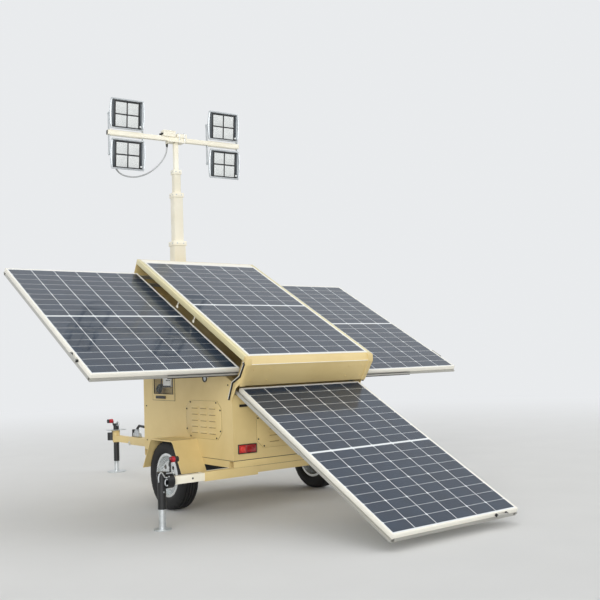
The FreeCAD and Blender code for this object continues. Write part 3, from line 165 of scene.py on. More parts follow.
# Extruded or drawn metal: long scratches and die lines run along one axis.
def drawnMetal(name, colour, shadow, roughness, along, lineSize, metallic):
    material, tree, place = startMaterial(name)
    stretch = [1 / lineSize] * 3
    stretch["xyz".index(along)] = 2.0
    turn = addNode(tree, "Mapping", {"Scale": stretch, "Rotation": (-tilt, 0, 0)}, {"Vector": place})
    lines = addNode(tree, "TexNoise", {"Scale": 1.0, "Detail": 3.0}, {"Vector": turn.outputs["Vector"]})
    tint = addNode(tree, "MixRGB", {"Color1": shade(colour), "Color2": shade(shadow)},
                   {"Fac": lines.outputs["Fac"]})
    gloss = addNode(tree, "MapRange", {"To Min": roughness - 0.08, "To Max": roughness + 0.12},
                    {"Value": lines.outputs["Fac"]})
    relief = addNode(tree, "Bump", {"Strength": 0.2, "Distance": 0.0002},
                     {"Height": lines.outputs["Fac"]})
    shader = addNode(tree, "BsdfPrincipled", {"Metallic": metallic},
                     {"Base Color": tint.outputs["Color"], "Roughness": gloss.outputs["Result"],
                      "Normal": relief.outputs["Normal"]})
    endMaterial(tree, shader.outputs["BSDF"])
    return material


cells = {
    "columnPitch": 0.1836,
    "rowPitch": 0.0925,
    "columns": 3,             # on each side of the module's middle
    "rows": 9,
    "columnLine": 0.0024,     # half the gap between columns, drawn a little wide so that it shows
    "rowLine": 0.0012,
    "middleGap": 0.016,
    "diamond": 0.011,         # cut corners, from the crossing of the gaps
    "wires": 10,              # to a column
    "wireWidth": 0.0005,
    "wireShow": 0.6,
    "wire": "#6C7686",
    "blue": "#1E3247",
    "blueDeep": "#141F2E",
    "white": "#E4E8EA",
}


# Tempered glass over half-cut silicon cells: a mirror-smooth coat above dark blue cells on a
# white sheet, with the cells' cut corners and their fine silver wires.
def solarLaminate(name, node):
    low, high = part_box(node)
    centre = (low + high) / 2
    turned = Matrix.Rotation(-tilt, 3, "X") @ centre
    material, tree, place = startMaterial(name)
    flat = addNode(tree, "Mapping", {"Rotation": (-tilt, 0, 0), "Location": -turned},
                   {"Vector": place})
    axes = addNode(tree, "SeparateXYZ", links={"Vector": flat.outputs["Vector"]})

    def work(operation, first, second=None):
        settings = {"operation": operation}
        links = {}
        for slotIndex, value in enumerate((first, second)):
            if value is None:
                continue
            if isinstance(value, (int, float)):
                settings[slotIndex] = value
            else:
                links[slotIndex] = value
        return addNode(tree, "Math", settings, links).outputs["Value"]

    across, along = axes.outputs["X"], axes.outputs["Y"]
    fromMiddle = work("SUBTRACT", work("ABSOLUTE", along), cells["middleGap"] / 2)
    columnEdge = work("PINGPONG", across, cells["columnPitch"] / 2)
    rowEdge = work("PINGPONG", fromMiddle, cells["rowPitch"] / 2)
    pairEdge = work("PINGPONG", fromMiddle, cells["rowPitch"])
    white = work("LESS_THAN", columnEdge, cells["columnLine"])
    for test in (work("LESS_THAN", rowEdge, cells["rowLine"]),
                 work("LESS_THAN", fromMiddle, 0.0),
                 work("GREATER_THAN", fromMiddle, cells["rows"] * cells["rowPitch"]),
                 work("GREATER_THAN", work("ABSOLUTE", across), cells["columns"] * cells["columnPitch"]),
                 work("LESS_THAN", work("ADD", columnEdge, pairEdge), cells["diamond"])):
        white = work("MAXIMUM", white, test)
    wireEdge = work("PINGPONG", across, cells["columnPitch"] / cells["wires"] / 2)
    wire = work("LESS_THAN", wireEdge, cells["wireWidth"])
    cloud = addNode(tree, "TexNoise", {"Scale": 6.0, "Detail": 2.0}, {"Vector": flat.outputs["Vector"]})
    blue = addNode(tree, "MixRGB", {"Color1": shade(cells["blue"]), "Color2": shade(cells["blueDeep"])},
                   {"Fac": cloud.outputs["Fac"]})
    wired = addNode(tree, "MixRGB", {"Color2": shade(cells["wire"])},
                    {"Fac": work("MULTIPLY", wire, cells["wireShow"]), "Color1": blue.outputs["Color"]})
    tint = addNode(tree, "MixRGB", {"Color2": shade(cells["white"])},
                   {"Fac": white, "Color1": wired.outputs["Color"]})
    shader = addNode(tree, "BsdfPrincipled", {"Roughness": 0.35, "Specular IOR Level": 0.2,
                                              "Coat Weight": 0.8, "Coat Roughness": 0.04, "Coat IOR": 1.35},
                     {"Base Color": tint.outputs["Color"]})
    endMaterial(tree, shader.outputs["BSDF"])
    return material


# Clear moulded plastic or glass: thin, with a faint tint and a smooth face.
def clearSheet(name, colour, roughness, alpha):
    material, tree, place = startMaterial(name)
    cloud = addNode(tree, "TexNoise", {"Scale": 30.0}, {"Vector": place})
    gloss = addNode(tree, "MapRange", {"To Min": roughness, "To Max": roughness + 0.05},
                    {"Value": cloud.outputs["Fac"]})
    shader = addNode(tree, "BsdfPrincipled", {"Base Color": shade(colour), "Alpha": alpha, "IOR": 1.49},
                     {"Roughness": gloss.outputs["Result"]})
    endMaterial(tree, shader.outputs["BSDF"])
    return material


# A lit LED board: rows of small round emitters on a white board, each dot a part of the pitch across.
def litBoard(name, pitch, dotRadius=0.34):
    material, tree, place = startMaterial(name)
    grid = addNode(tree, "Mapping", {"Scale": (1 / pitch, 1 / pitch, 1 / pitch)}, {"Vector": place})
    cell = addNode(tree, "VectorMath", {"operation": "FRACTION"}, {0: grid.outputs["Vector"]})
    centred = addNode(tree, "VectorMath", {"operation": "SUBTRACT", 1: (0.5, 0.5, 0.5)},
                      {0: cell.outputs["Vector"]})
    flat = addNode(tree, "VectorMath", {"operation": "MULTIPLY", 1: (1, 0, 1)},
                   {0: centred.outputs["Vector"]})
    reach = addNode(tree, "VectorMath", {"operation": "LENGTH"}, {0: flat.outputs["Vector"]})
    dot = addNode(tree, "Math", {"operation": "LESS_THAN", 1: dotRadius}, {0: reach.outputs["Value"]})
    tint = addNode(tree, "MixRGB", {"Color1": shade("#B4B8B7"), "Color2": shade("#F0F1EF")},
                   {"Fac": dot.outputs["Value"]})
    glow = addNode(tree, "MapRange", {"To Min": 0.02, "To Max": 0.18}, {"Value": dot.outputs["Value"]})
    shader = addNode(tree, "BsdfPrincipled", {"Roughness": 0.4},
                     {"Base Color": tint.outputs["Color"], "Emission Color": tint.outputs["Color"],
                      "Emission Strength": glow.outputs["Result"]})
    endMaterial(tree, shader.outputs["BSDF"])
    return material


# a row: colour, colour of the blotches, their size, how much they show, roughness, size of the grain,
# height of the bump, and for some how metallic it is and how much clear coat it has
coats = {
    # polyester powder coat on steel: satin, with a slight orange peel and dust in places
    "powderCoatSand": ("#D9C289", "#C6AC70", 0.35, 0.55, 0.42, 0.004, 0.0004),
    # the same coat on the top rails, painted paler as a painted highlight for the glancing light along them,
    # and a little smoother
    "sandCoatPaintedGlare": ("#DED5AA", "#CFC18D", 0.35, 0.55, 0.36, 0.004, 0.0004),
    # the same coat where a fold or a lap keeps the light off it
    "shadedCoat": ("#87713F", "#6F5C33", 0.35, 0.55, 0.5, 0.004, 0.0002),
    # the same coat in other colours, less dusty
    "powderCoatCream": ("#F3EEDD", "#E3DABD", 0.25, 0.5, 0.40, 0.004, 0.0004),
    "powderCoatGrey": ("#B9BDBD", "#A3A8A8", 0.20, 0.5, 0.42, 0.003, 0.0003),
    "powderCoatBlack": ("#111213", "#1D1E20", 0.15, 0.6, 0.38, 0.003, 0.0003),
    # zinc plate on steel: bright grey, clouded by handling, and black zinc on the screws
    "zincPlatedSteel": ("#CDD1D2", "#9BA0A2", 0.05, 0.8, 0.34, 0.006, 0.0003, 0.7),
    "blackZincScrew": ("#26241F", "#3A372F", 0.01, 0.5, 0.42, 0.001, 0.0002, 0.5),
    # moulded rubber: deep black and dull, and the tyres greyed by dust
    "epdmRubber": ("#0E0E0E", "#1C1C1C", 0.05, 0.5, 0.6, 0.002, 0.0003),
    "tyreRubber": ("#0F0F10", "#222120", 0.08, 0.5, 0.72, 0.003, 0.0005),
    # silver lacquer on pressed steel: bright, with the shine broken up a little
    "silverWheelPaint": ("#E2E5E5", "#A5A9A9", 0.06, 0.6, 0.24, 0.004, 0.0003, 0.75),
    # red acrylic under a glossy face, and paler copies of it that are painted light, for the lamp's light
    # showing through
    "redLens": ("#8E0D10", "#A5161A", 0.03, 0.6, 0.18, 0.006, 0.0004, 0.0, 1.0),
    "redLensPaintedLight": ("#B92420", "#C93A30", 0.03, 0.6, 0.17, 0.006, 0.0004, 0.0, 1.0),
    "redLensPaintedGlow": ("#D8352A", "#E8564A", 0.03, 0.6, 0.16, 0.006, 0.0004, 0.0, 1.0),
    # moulded plastic and cable sheath: one even colour with a fine grain
    "redPlastic": ("#B5182A", "#8F1322", 0.02, 0.5, 0.35, 0.002, 0.0002),
    "blackPlastic": ("#18191A", "#252627", 0.03, 0.5, 0.45, 0.001, 0.0002),
    "greySheath": ("#B9BBBC", "#9EA1A2", 0.05, 0.4, 0.45, 0.002, 0.0002),
    "batteryCase": ("#26282B", "#32353A", 0.10, 0.5, 0.5, 0.003, 0.0003),
    "paleAbs": ("#F0F0EC", "#DEDED8", 0.06, 0.5, 0.42, 0.001, 0.0002),
    # pressure-cast alloy with a thin silver coat, its bare rim, and the smoked plastic round the emitters
    "castAluminium": ("#C4C8CA", "#AEB2B5", 0.08, 0.5, 0.36, 0.003, 0.0004, 0.35),
    "polishedRim": ("#C4C9CC", "#A9AFB3", 0.04, 0.5, 0.26, 0.004, 0.0002, 0.6),
    "smokedReflector": ("#4E5458", "#3C4144", 0.05, 0.5, 0.22, 0.004, 0.0002, 0.3),
    # polyester sheet on the backs of the modules: white, with a soft sheen
    "whiteBacksheet": ("#E9EAE8", "#DADCDA", 0.30, 0.5, 0.5, 0.004, 0.0002),
}
finishes = {name: coatedFinish(name, *values) for name, values in coats.items()}
# clear anodised extrusion: pale, soft sheen, faint die lines along it
finishes["anodisedAluminium"] = drawnMetal("anodisedAluminium", "#F6F3E9", "#E9E5D8", 0.38, "y", 0.004, 0.2)
# cold rolled steel with a thin plate: a grey sheen with fine lines along each member
finishes["coldRolledSlide"] = drawnMetal("coldRolledSlide", "#D2D0C8", "#9A9A96", 0.34, "x", 0.003, 0.6)
# cast acrylic in the hatch: clear, so that only its gloss shows
finishes["clearAcrylic"] = clearSheet("clearAcrylic", "#B9C0C0", 0.02, 0.07)
# emitters 8.5 mm apart on a white board, coarser than real ones so that they show
finishes["litBoard"] = litBoard("litBoard", 0.0085)
for panel in ("fixed_module", "left_panel", "right_panel", "rear_panel"):
    finishes[panel] = solarLaminate("solarGlass_" + panel, panel + "_laminate")
print("materials made")

nodeFinishes = {
    "powderCoatSand": ["cabinet_end_walls", "cabinet_floor", "control_lid", "crossmembers", "drawbar",
                       "fenders", "housing_top_frame", "housing_tub", "left_wall", "right_wall",
                       "rear_beam_and_sleeves", "rear_hood", "side_rails", "vent_panels",
                       "control_box"],
    "powderCoatCream": ["left_outrigger_beam", "right_outrigger_beam", "mast_base", "mast_head",
                        "mast_section_1", "mast_section_2", "mast_section_3", "mast_section_4",
                        "crossbar"],
    "powderCoatGrey": ["lamp_housings"],
    "powderCoatBlack": ["handbrake", "left_jack_tube", "right_jack_tube", "tow_jack_tube",
                        "mast_winch", "torsion_axle", "tow_coupler"],
    "anodisedAluminium": ["fixed_module_frame", "left_panel_frame", "right_panel_frame",
                          "rear_panel_frame"],
    "zincPlatedSteel": ["left_jack_leg", "right_jack_leg", "tow_jack_leg"],
    "coldRolledSlide": ["fixed_slides", "left_mid_slides", "right_mid_slides", "rear_mid_slides",
                        "left_carriage", "right_carriage", "rear_carriage"],
    "epdmRubber": ["hood_seals"],
    "tyreRubber": ["left_tyre", "right_tyre"],
    "silverWheelPaint": ["left_rim", "right_rim"],
    "redLens": ["tail_lamps"],
    "batteryCase": ["battery_block"],
    "clearAcrylic": ["lid_window"],
    "litBoard": ["lamp_lenses"],
    "greySheath": ["lamp_cable"],
    "fixed_module": ["fixed_module_laminate"],
    "left_panel": ["left_panel_laminate"],
    "right_panel": ["right_panel_laminate"],
    "rear_panel": ["rear_panel_laminate"],
}
for finish, names in nodeFinishes.items():
    for name in names:
        for slot in nodes[name].material_slots:
            slot.material = finishes[finish]


# Modelling tools

def deselect():
    bpy.ops.object.select_all(action="DESELECT")


def choose(*pieces):
    deselect()
    for piece in pieces:
        piece.select_set(True)
    bpy.context.view_layer.objects.active = pieces[0]


def applyPlace(piece):
    choose(piece)
    bpy.ops.object.transform_apply(location=True, rotation=True, scale=True)
    return piece


def softened(piece, width, segments=2, angle=35):
    choose(piece)
    edges = piece.modifiers.new("softEdges", "BEVEL")
    edges.width = width
    edges.segments = segments
    edges.angle_limit = math.radians(angle)
    bpy.ops.object.modifier_apply(modifier=edges.name)
    return piece


def addBlock(low, high, edge=0.001, segments=2):
    deselect()
    bpy.ops.mesh.primitive_cube_add(size=1, location=[(a + b) / 2 for a, b in zip(low, high)])
    block = bpy.context.object
    block.scale = [b - a for a, b in zip(low, high)]
    applyPlace(block)
    return softened(block, edge, segments) if edge else block


def addRound(start, end, radius, edge=0.001, sides=32, endRadius=None):
    start, end = Vector(start), Vector(end)
    deselect()
    bpy.ops.mesh.primitive_cone_add(vertices=sides, radius1=radius,
                                    radius2=radius if endRadius is None else endRadius,
                                    depth=(end - start).length, location=(start + end) / 2)
    bar = bpy.context.object
    bar.rotation_euler = (end - start).to_track_quat("Z", "Y").to_euler()
    return softened(applyPlace(bar), edge, 2)


# a bent rod or tube through a few points
def addRod(points, radius, closed=False):
    deselect()
    bpy.ops.curve.primitive_bezier_curve_add()
    rod = bpy.context.object
    rod.data.splines.clear()
    line = rod.data.splines.new("POLY")
    line.points.add(len(points) - 1)
    for knot, place in zip(line.points, points):
        knot.co = (*place, 1)
    line.use_cyclic_u = closed
    rod.data.dimensions = "3D"
    rod.data.bevel_depth = radius
    rod.data.bevel_resolution = 3
    rod.data.use_fill_caps = True
    rod.location = (0, 0, 0)
    choose(rod)
    bpy.ops.object.convert(target="MESH")
    return applyPlace(bpy.context.object)


# a ring that faces sideways, squashed where squash is less than one
def addRing(place, radius, thick, squash=(1, 1, 1), steps=32, sides=8):
    deselect()
    bpy.ops.mesh.primitive_torus_add(location=place, rotation=(0, math.pi / 2, 0), major_radius=radius,
                                     minor_radius=thick, major_segments=steps, minor_segments=sides)
    ring = bpy.context.object
    ring.scale = squash
    return applyPlace(ring)


# leaves the piece in edit mode with the wanted faces picked
def pickFaces(piece, wanted):
    choose(piece)
    bpy.ops.object.mode_set(mode="EDIT")
    bpy.ops.mesh.select_mode(type="FACE")
    bpy.ops.mesh.select_all(action="DESELECT")
    mesh = bmesh.from_edit_mesh(piece.data)
    for face in mesh.faces:
        face.select_set(bool(wanted(face)))
    bmesh.update_edit_mesh(piece.data)


def leaveEdit():
    bpy.ops.object.mode_set(mode="OBJECT")


# sinks the picked faces by a step, inside a rim
def pressIn(piece, wanted, rim, step):
    pickFaces(piece, wanted)
    bpy.ops.mesh.inset(thickness=rim)
    bpy.ops.mesh.extrude_region_move(TRANSFORM_OT_translate={"value": step})
    leaveEdit()
    return piece


def recalculate(piece):
    choose(piece)
    bpy.ops.object.mode_set(mode="EDIT")
    bpy.ops.mesh.select_all(action="SELECT")
    bpy.ops.mesh.remove_doubles(threshold=0.00001)
    bpy.ops.mesh.normals_make_consistent(inside=False)
    leaveEdit()
    return piece


def copied(piece, matrix):
    choose(piece)
    bpy.ops.object.duplicate(linked=False)
    twin = bpy.context.object
    twin.matrix_world = matrix @ twin.matrix_world
    applyPlace(twin)
    return recalculate(twin) if matrix.determinant() < 0 else twin


# the directions of the points on a round loop
def around(count):
    return [2 * math.pi * step / count for step in range(count)]


# a part and its twin on the other side of the trailer
def bothSides(*parts):
    return [*parts, *[copied(part, Matrix.Scale(-1, 4, (1, 0, 0))) for part in parts]]


# joins the parts into one named piece, which rides on a body and stands for the CAD nodes it names
def settle(name, body, finish, parts, stands=(), place=None):
    choose(*parts)
    if len(parts) > 1:
        bpy.ops.object.join()
    piece = bpy.context.object
    piece.name = name
    if place:
        piece.data.transform(place)
    piece.data.materials.clear()
    piece.data.materials.append(finishes[finish])
    bpy.ops.object.shade_smooth_by_angle(angle=math.radians(35))
    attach(piece, body)
    if stands:
        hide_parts(*stands)
    return piece


# places along the tilted array: across, up the slope, and out of the modules' face
arrayPlace = Matrix.Translation((0, shiftY, edgeHeight)) @ Matrix.Rotation(tilt, 4, "X")
# the mast stands turned on its base, so what it carries is made square and then turned
mastY = 1.915 + shiftY
mastTurn = -5.9             # degrees
mastAxis = Matrix.Translation((0, mastY, 0))
mastPlace = mastAxis @ Matrix.Rotation(math.radians(mastTurn), 4, "Z") @ mastAxis.inverted()


# Flood lamps: cast housings with bulging sides, a dark recess and four boards of emitters

flood = {
    "face": 0.8685,             # y of the lamps' front
    "centres": ((-0.485, 3.351), (0.485, 3.351), (-0.485, 2.985), (0.485, 2.985)),
    "width": 0.332,             # at the bulging middle of the face
    "height": 0.275,
    "lean": 5.0,                # degrees that the faces look down
    "depth": 0.062,
    "finDepth": 0.018,
    "fins": 11,
    "pinch": 0.075,             # how much narrower the head and foot are than the middle
    "taper": 0.1,               # how much smaller the back is than the face
    "lip": 0.010,
    "rim": 0.0048,              # radius of the bright rim round the face
    "recess": 0.012,
    "board": (0.100, 0.102),
    "boardGap": 0.013,
    "boardDrop": 0.004,
    "tray": (0.139, 0.121),     # half its width and height
    "wing": (0.130, 0.008, 0.114),      # out from the middle, half its width, half its height
    "sensor": (0.127, -0.100, 0.009),   # a small round window in the lower corner, and its radius
    "pivot": 0.9185,            # y of the yoke's bolts
    "yoke": 0.1598,             # the yoke's arms, out from the lamp's middle
    "inlet": ((-0.600, 0.926, 2.951), (-0.568, 0.962, 2.987)),      # where the cable goes in
}


def pinched(across, rise):
    return across * (1 - flood["pinch"] * rise ** 2)


def makeFlood():
    face, width, height = flood["face"], flood["width"], flood["height"]
    centreX, centreZ = flood["centres"][0]
    back = face + flood["depth"] - flood["finDepth"]
    deselect()
    bpy.ops.mesh.primitive_cube_add(size=1, location=(centreX, (face + back) / 2, centreZ))
    shell = bpy.context.object
    shell.scale = (width, back - face, height)
    applyPlace(shell)
    bpy.ops.object.mode_set(mode="EDIT")
    bpy.ops.mesh.select_all(action="SELECT")
    bpy.ops.mesh.subdivide(number_cuts=7)
    leaveEdit()
    for vertex in shell.data.vertices:
        rise = (vertex.co.z - centreZ) / (height / 2)
        deep = (vertex.co.y - face) / (back - face)
        shrink = 1 - flood["taper"] * deep ** 2
        vertex.co.x = centreX + pinched(vertex.co.x - centreX, rise) * shrink
        vertex.co.z = centreZ + (vertex.co.z - centreZ) * shrink
    softened(shell, 0.006, 3, 50)
    pressIn(shell, lambda f: f.normal.y < -0.95, flood["lip"], (0, flood["recess"], 0))
    fins = []
    for i in range(flood["fins"]):
        x = centreX + (i / (flood["fins"] - 1) - 0.5) * width * 0.78
        fins.append(addBlock((x - 0.0015, back - 0.002, centreZ - 0.105),
                             (x + 0.0015, back + flood["finDepth"], centreZ + 0.105), 0.001))
    # the rim runs up one bulging side and down the other
    rises = [i / 4 for i in range(-4, 5)]
    inset = flood["rim"] * 0.9
    side = [(pinched(width / 2, rise) - inset, (height / 2 - inset) * rise) for rise in rises]
    line = side + [(-x, z) for x, z in reversed(side)]
    rim = addRod([(centreX + x, face + 0.0035, centreZ + z) for x, z in line], flood["rim"], True)
    floorY = face + flood["recess"]
    across, tall = flood["tray"]
    tray = addBlock((centreX - across, floorY - 0.002, centreZ - tall),
                    (centreX + across, floorY + 0.001, centreZ + tall), 0.0008)
    out, across, tall = flood["wing"]
    wings = [addBlock((centreX + side * out - across, floorY - 0.007, centreZ - tall),
                      (centreX + side * out + across, floorY - 0.001, centreZ + tall), 0.003)
             for side in (-1, 1)]
    boards = []
    boardWidth, boardHeight = flood["board"]
    for column in (-1, 1):
        for row in (-1, 1):
            x = centreX + column * (boardWidth + flood["boardGap"]) / 2
            z = centreZ - flood["boardDrop"] + row * (boardHeight + flood["boardGap"]) / 2
            boards.append(addBlock((x - boardWidth / 2, floorY - 0.0045, z - boardHeight / 2),
                                   (x + boardWidth / 2, floorY - 0.001, z + boardHeight / 2), 0.0006))
    out, up, radius = flood["sensor"]
    boards.append(addRound((centreX + out, floorY - 0.011, centreZ + up),
                           (centreX + out, floorY - 0.002, centreZ + up), radius))
    pivot = Vector((centreX, flood["pivot"], centreZ))
    lean = (Matrix.Translation(pivot) @ Matrix.Rotation(math.radians(flood["lean"]), 4, "X")
            @ Matrix.Translation(-pivot))
    for part in (shell, *fins, rim, tray, *wings, *boards):
        part.data.transform(lean)
    return {"shell": [shell, *fins], "rim": [rim], "tray": [tray], "wing": wings, "board": boards}


masters = makeFlood()
firstX, firstZ = flood["centres"][0]
counts = {kind: len(parts) for kind, parts in masters.items()}
for x, z in flood["centres"][1:]:
    shift = Matrix.Translation((x - firstX, 0, z - firstZ))
    for kind, count in counts.items():
        masters[kind] += [copied(part, shift) for part in masters[kind][:count]]
masters["shell"].append(addBlock(*flood["inlet"], 0.004))
for name, kind, finish, slot, stands in (
        ("floodHousings", "shell", "castAluminium", "grey_paint", ["lamp_housings"]),
        ("floodRims", "rim", "polishedRim", "grey_paint", []),
        ("floodTrays", "tray", "blackPlastic", "black_paint", []),
        ("floodReflectors", "wing", "smokedReflector", "grey_paint", []),
        ("floodBoards", "board", "litBoard", "lamp_glass", ["lamp_lenses"])):
    settle(name, "mast_4", finish, masters[kind], stands, mastPlace)

# the yokes' bolts at the lamps' sides, and their arms from there to the bar
barSpan = (3.158, 3.196)        # foot and top of the crossbar
knobs, arms = [], []
for x, z in flood["centres"]:
    low, high = (barSpan[1], z + 0.0134) if z > barSpan[1] else (z - 0.0134, barSpan[0])
    for side in (-1, 1):
        arm = x + side * flood["yoke"]
        root = arm + side * 0.0025
        y = flood["pivot"]
        knobs.append(addRound((root, y, z), (root + side * 0.007, y, z), 0.009, 0.0012, 6))
        knobs.append(addRound((root + side * 0.006, y, z), (root + side * 0.010, y, z), 0.004))
        arms.append(addBlock((arm - 0.0029, y - 0.0154, low), (arm + 0.0029, y + 0.0154, high), 0.0008))
settle("yokeBolts", "mast_4", "zincPlatedSteel", knobs, place=mastPlace)
settle("yokeArms", "mast_4", "castAluminium", arms, place=mastPlace)
plugs = bothSides(addBlock((-0.6622, 0.8992, 3.1577), (-0.652, 0.9378, 3.1963), 0.002))
settle("barPlugs", "mast_4", "blackPlastic", plugs, place=mastPlace)
print("flood lamps made")


# Lamp cable: hangs free from the gland under the crossbar to the back of the lower left lamp

lampCable = {
    "start": (0.0, 0.918525, 3.157),        # the mast's axis at the crossbar's underside
    "route": ((-60, 60, -14), (-60, 60, -68), (-86, 59, -140), (-136, 57, -208), (-204, 54, -272),
              (-286, 50, -324), (-374, 45, -354), (-462, 40, -358), (-530, 36, -340),
              (-570, 31, -304), (-584, 28, -256), (-584, 28, -206)),       # mm from the start
    "diameter": 0.014,
    "length": 0.806,
    "reliefLength": 0.028,
}
route = [mastPlace @ (Vector(lampCable["start"]) + Vector(step) / 1000) for step in lampCable["route"]]
lineData = bpy.data.curves.new("lampCable", "CURVE")
lineData.dimensions = "3D"
line = lineData.splines.new("NURBS")
line.points.add(len(route) - 1)
for knot, place in zip(line.points, route):
    knot.co = (*place, 1)
line.order_u = 3
line.use_endpoint_u = True
line.resolution_u = 12
lineData.bevel_depth = lampCable["diameter"] / 2
lineData.bevel_resolution = 5
lineData.use_fill_caps = True
cable = bpy.data.objects.new("lampCable", lineData)
bpy.context.scene.collection.objects.link(cable)
lineData.materials.append(finishes["greySheath"])
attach(cable, "mast_4")
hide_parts("lamp_cable")
reliefs = []
for end, away in ((route[0], route[1]), (route[-1], route[-2])):
    reach = (away - end).normalized() * lampCable["reliefLength"]
    reliefs.append(addRound(end - reach * 0.1, end + reach, 0.0115, 0.001, 24, 0.0082))
settle("cableReliefs", "mast_4", "blackPlastic", reliefs)
print("lamp cable made")


# Tyres: one section spun round the axle, then sipes pressed into the shoulders

tyre = {
    "centre": (0.705, 0.844 + shiftY, 0.261),
    "steps": 120,
    # half of the section, outer side first: distance from the middle plane and radius
    "section": ((0.0535, 0.1525), (0.0545, 0.163), (0.0640, 0.170), (0.0745, 0.186), (0.0770, 0.203),
                (0.0755, 0.222), (0.0700, 0.240), (0.0655, 0.2495), (0.0590, 0.2555), (0.0500, 0.2585),
                (0.0400, 0.2597), (0.0385, 0.2530), (0.0335, 0.2530), (0.0320, 0.2603), (0.0145, 0.2607),
                (0.0130, 0.2535), (0.0080, 0.2535), (0.0065, 0.2609)),
    "sipeEvery": 4,
    "sipeDepth": 0.0035,
    "sipeBand": (0.040, 0.071),     # across, from the middle plane
    "sipeInside": 0.238,            # radius that the sipes start from
}


def makeTyre():
    middle = Vector(tyre["centre"])
    half = list(tyre["section"])
    ring = half + [(-x, r) for x, r in reversed(half)]
    deselect()
    bpy.ops.mesh.primitive_circle_add(vertices=len(ring), radius=0.05, location=(0, 0, 0))
    body = bpy.context.object
    for vertex, (x, r) in zip(body.data.vertices, ring):
        vertex.co = middle + Vector((x, 0, r))
    bpy.ops.object.mode_set(mode="EDIT")
    bpy.ops.mesh.select_all(action="SELECT")
    bpy.ops.mesh.spin(steps=tyre["steps"], angle=2 * math.pi, center=middle, axis=(1, 0, 0))
    leaveEdit()
    recalculate(body)

    def shoulder(face):
        offset = face.calc_center_median() - middle
        r = math.hypot(offset.y, offset.z)
        step = round(math.atan2(offset.z, offset.y) / (2 * math.pi) * tyre["steps"] - 0.5)
        near, far = tyre["sipeBand"]
        return r > tyre["sipeInside"] and near < abs(offset.x) < far and step % tyre["sipeEvery"] == 0

    pickFaces(body, shoulder)
    bpy.ops.mesh.extrude_region_shrink_fatten(TRANSFORM_OT_shrink_fatten={"value": -tyre["sipeDepth"]})
    leaveEdit()
    return body


tyreRight, tyreLeft = bothSides(makeTyre())
settle("rightTyreTread", "right_wheel", "tyreRubber", [tyreRight], ["right_tyre"])
settle("leftTyreTread", "left_wheel", "tyreRubber", [tyreLeft], ["left_tyre"])

# four nuts, a cap over the hub and a valve; each end is x, then y and z from the wheel's middle
wheelFace = {
    "nuts": 4,
    "nutCircle": 0.030,
    "nutOut": 0.7530,
    "nutRadius": 0.0085,
    "nutHeight": 0.012,
    "cap": ((0.745, 0, 0), (0.762, 0, 0)),
    "capRadius": 0.019,
    "valve": ((0.735, 0.095, 0.055), (0.760, 0.090, 0.052)),
    "valveRadius": 0.004,
}
wheelMiddle = Vector((0, *tyre["centre"][1:]))
nutMaster = addRound((0, 0, 0), (wheelFace["nutHeight"], 0, 0), wheelFace["nutRadius"], 0.0012, 6)
nuts = []
for i in range(wheelFace["nuts"]):
    turn = 2 * math.pi * (i + 0.5) / wheelFace["nuts"]
    circle = wheelFace["nutCircle"]
    step = Vector((wheelFace["nutOut"], circle * math.cos(turn), circle * math.sin(turn)))
    nuts.append(copied(nutMaster, Matrix.Translation(wheelMiddle + step)))
bpy.data.objects.remove(nutMaster)
capEnds, valveEnds = ([wheelMiddle + Vector(end) for end in wheelFace[part]] for part in ("cap", "valve"))
cap = addRound(*capEnds, wheelFace["capRadius"], 0.004)
valve = addRound(*valveEnds, wheelFace["valveRadius"], 0.001, 16)
wheelParts = bothSides(*nuts, cap, valve)
half = len(wheelParts) // 2
settle("rightWheelNuts", "right_wheel", "zincPlatedSteel", wheelParts[:half])
settle("leftWheelNuts", "left_wheel", "zincPlatedSteel", wheelParts[half:])
print("wheels made")


# Fixings: one pan head with its socket pressed in, copied to every place

screw = {
    "radius": 0.0062,
    "height": 0.0035,
    "socket": 0.0026,
    "socketDepth": 0.0018,
    "rounding": 0.0014,
    # along and up from the middle of a vent panel, in every quarter of it
    "sideVent": ((0.181, 0.129), (0.235, 0.076)),
    "rearVent": ((0.378, 0.076), (0.328, 0.129)),
    # back from the array's edge and up from the floor
    "wall": ((0.368, 1.016), (0.230, 0.942), (1.460, 0.480), (1.460, 0.760), (1.460, 1.040), (1.460, 1.320),
             (0.860, 1.150)),
    # across, down the slope from the array's edge, and below its face
    "hood": ((0.520, 0.0415, 0.095), (0.520, 0.0345, 0.185),
             (0.375, 0.0415, 0.095), (0.375, 0.0345, 0.185)),
}
sideVent = (0.571 + shiftY, 0.681)      # y and z of the middle of the side vent panels
rearVent = (0.0, 0.615)                 # x and z of the middle of the rear one


def quarters(spots):
    return [(along * one, up * other) for along, up in spots for one in (-1, 1) for other in (-1, 1)]


# where each fixing stands and which way it faces
sidePlaces = [(wallFace - 0.004, sideVent[0] + y, sideVent[1] + z) for y, z in quarters(screw["sideVent"])]
sidePlaces += [(wallFace, y + shiftY, z) for y, z in screw["wall"]]
panelFixings = [((x * side, y, z), (-side, 0, 0)) for side in (1, -1) for x, y, z in sidePlaces]
panelFixings += [((x, rearFace - 0.002, rearVent[1] + z), (0, -1, 0))
                 for x, z in quarters(screw["rearVent"])]
hoodFacing = arrayPlace.to_3x3() @ Vector((0, -0.997, -0.073))
hoodFixings = [(arrayPlace @ Vector((x * side, -down, -drop)), hoodFacing) for side in (-1, 1)
               for x, down, drop in screw["hood"]]


def makeScrew():
    head = addRound((0, 0, -0.001), (0, 0, screw["height"]), screw["radius"], screw["rounding"], 20)
    rim = screw["radius"] - screw["rounding"] - screw["socket"]
    return pressIn(head, lambda f: f.normal.z > 0.99 and f.calc_center_median().z > 0.001, rim,
                   (0, 0, -screw["socketDepth"]))


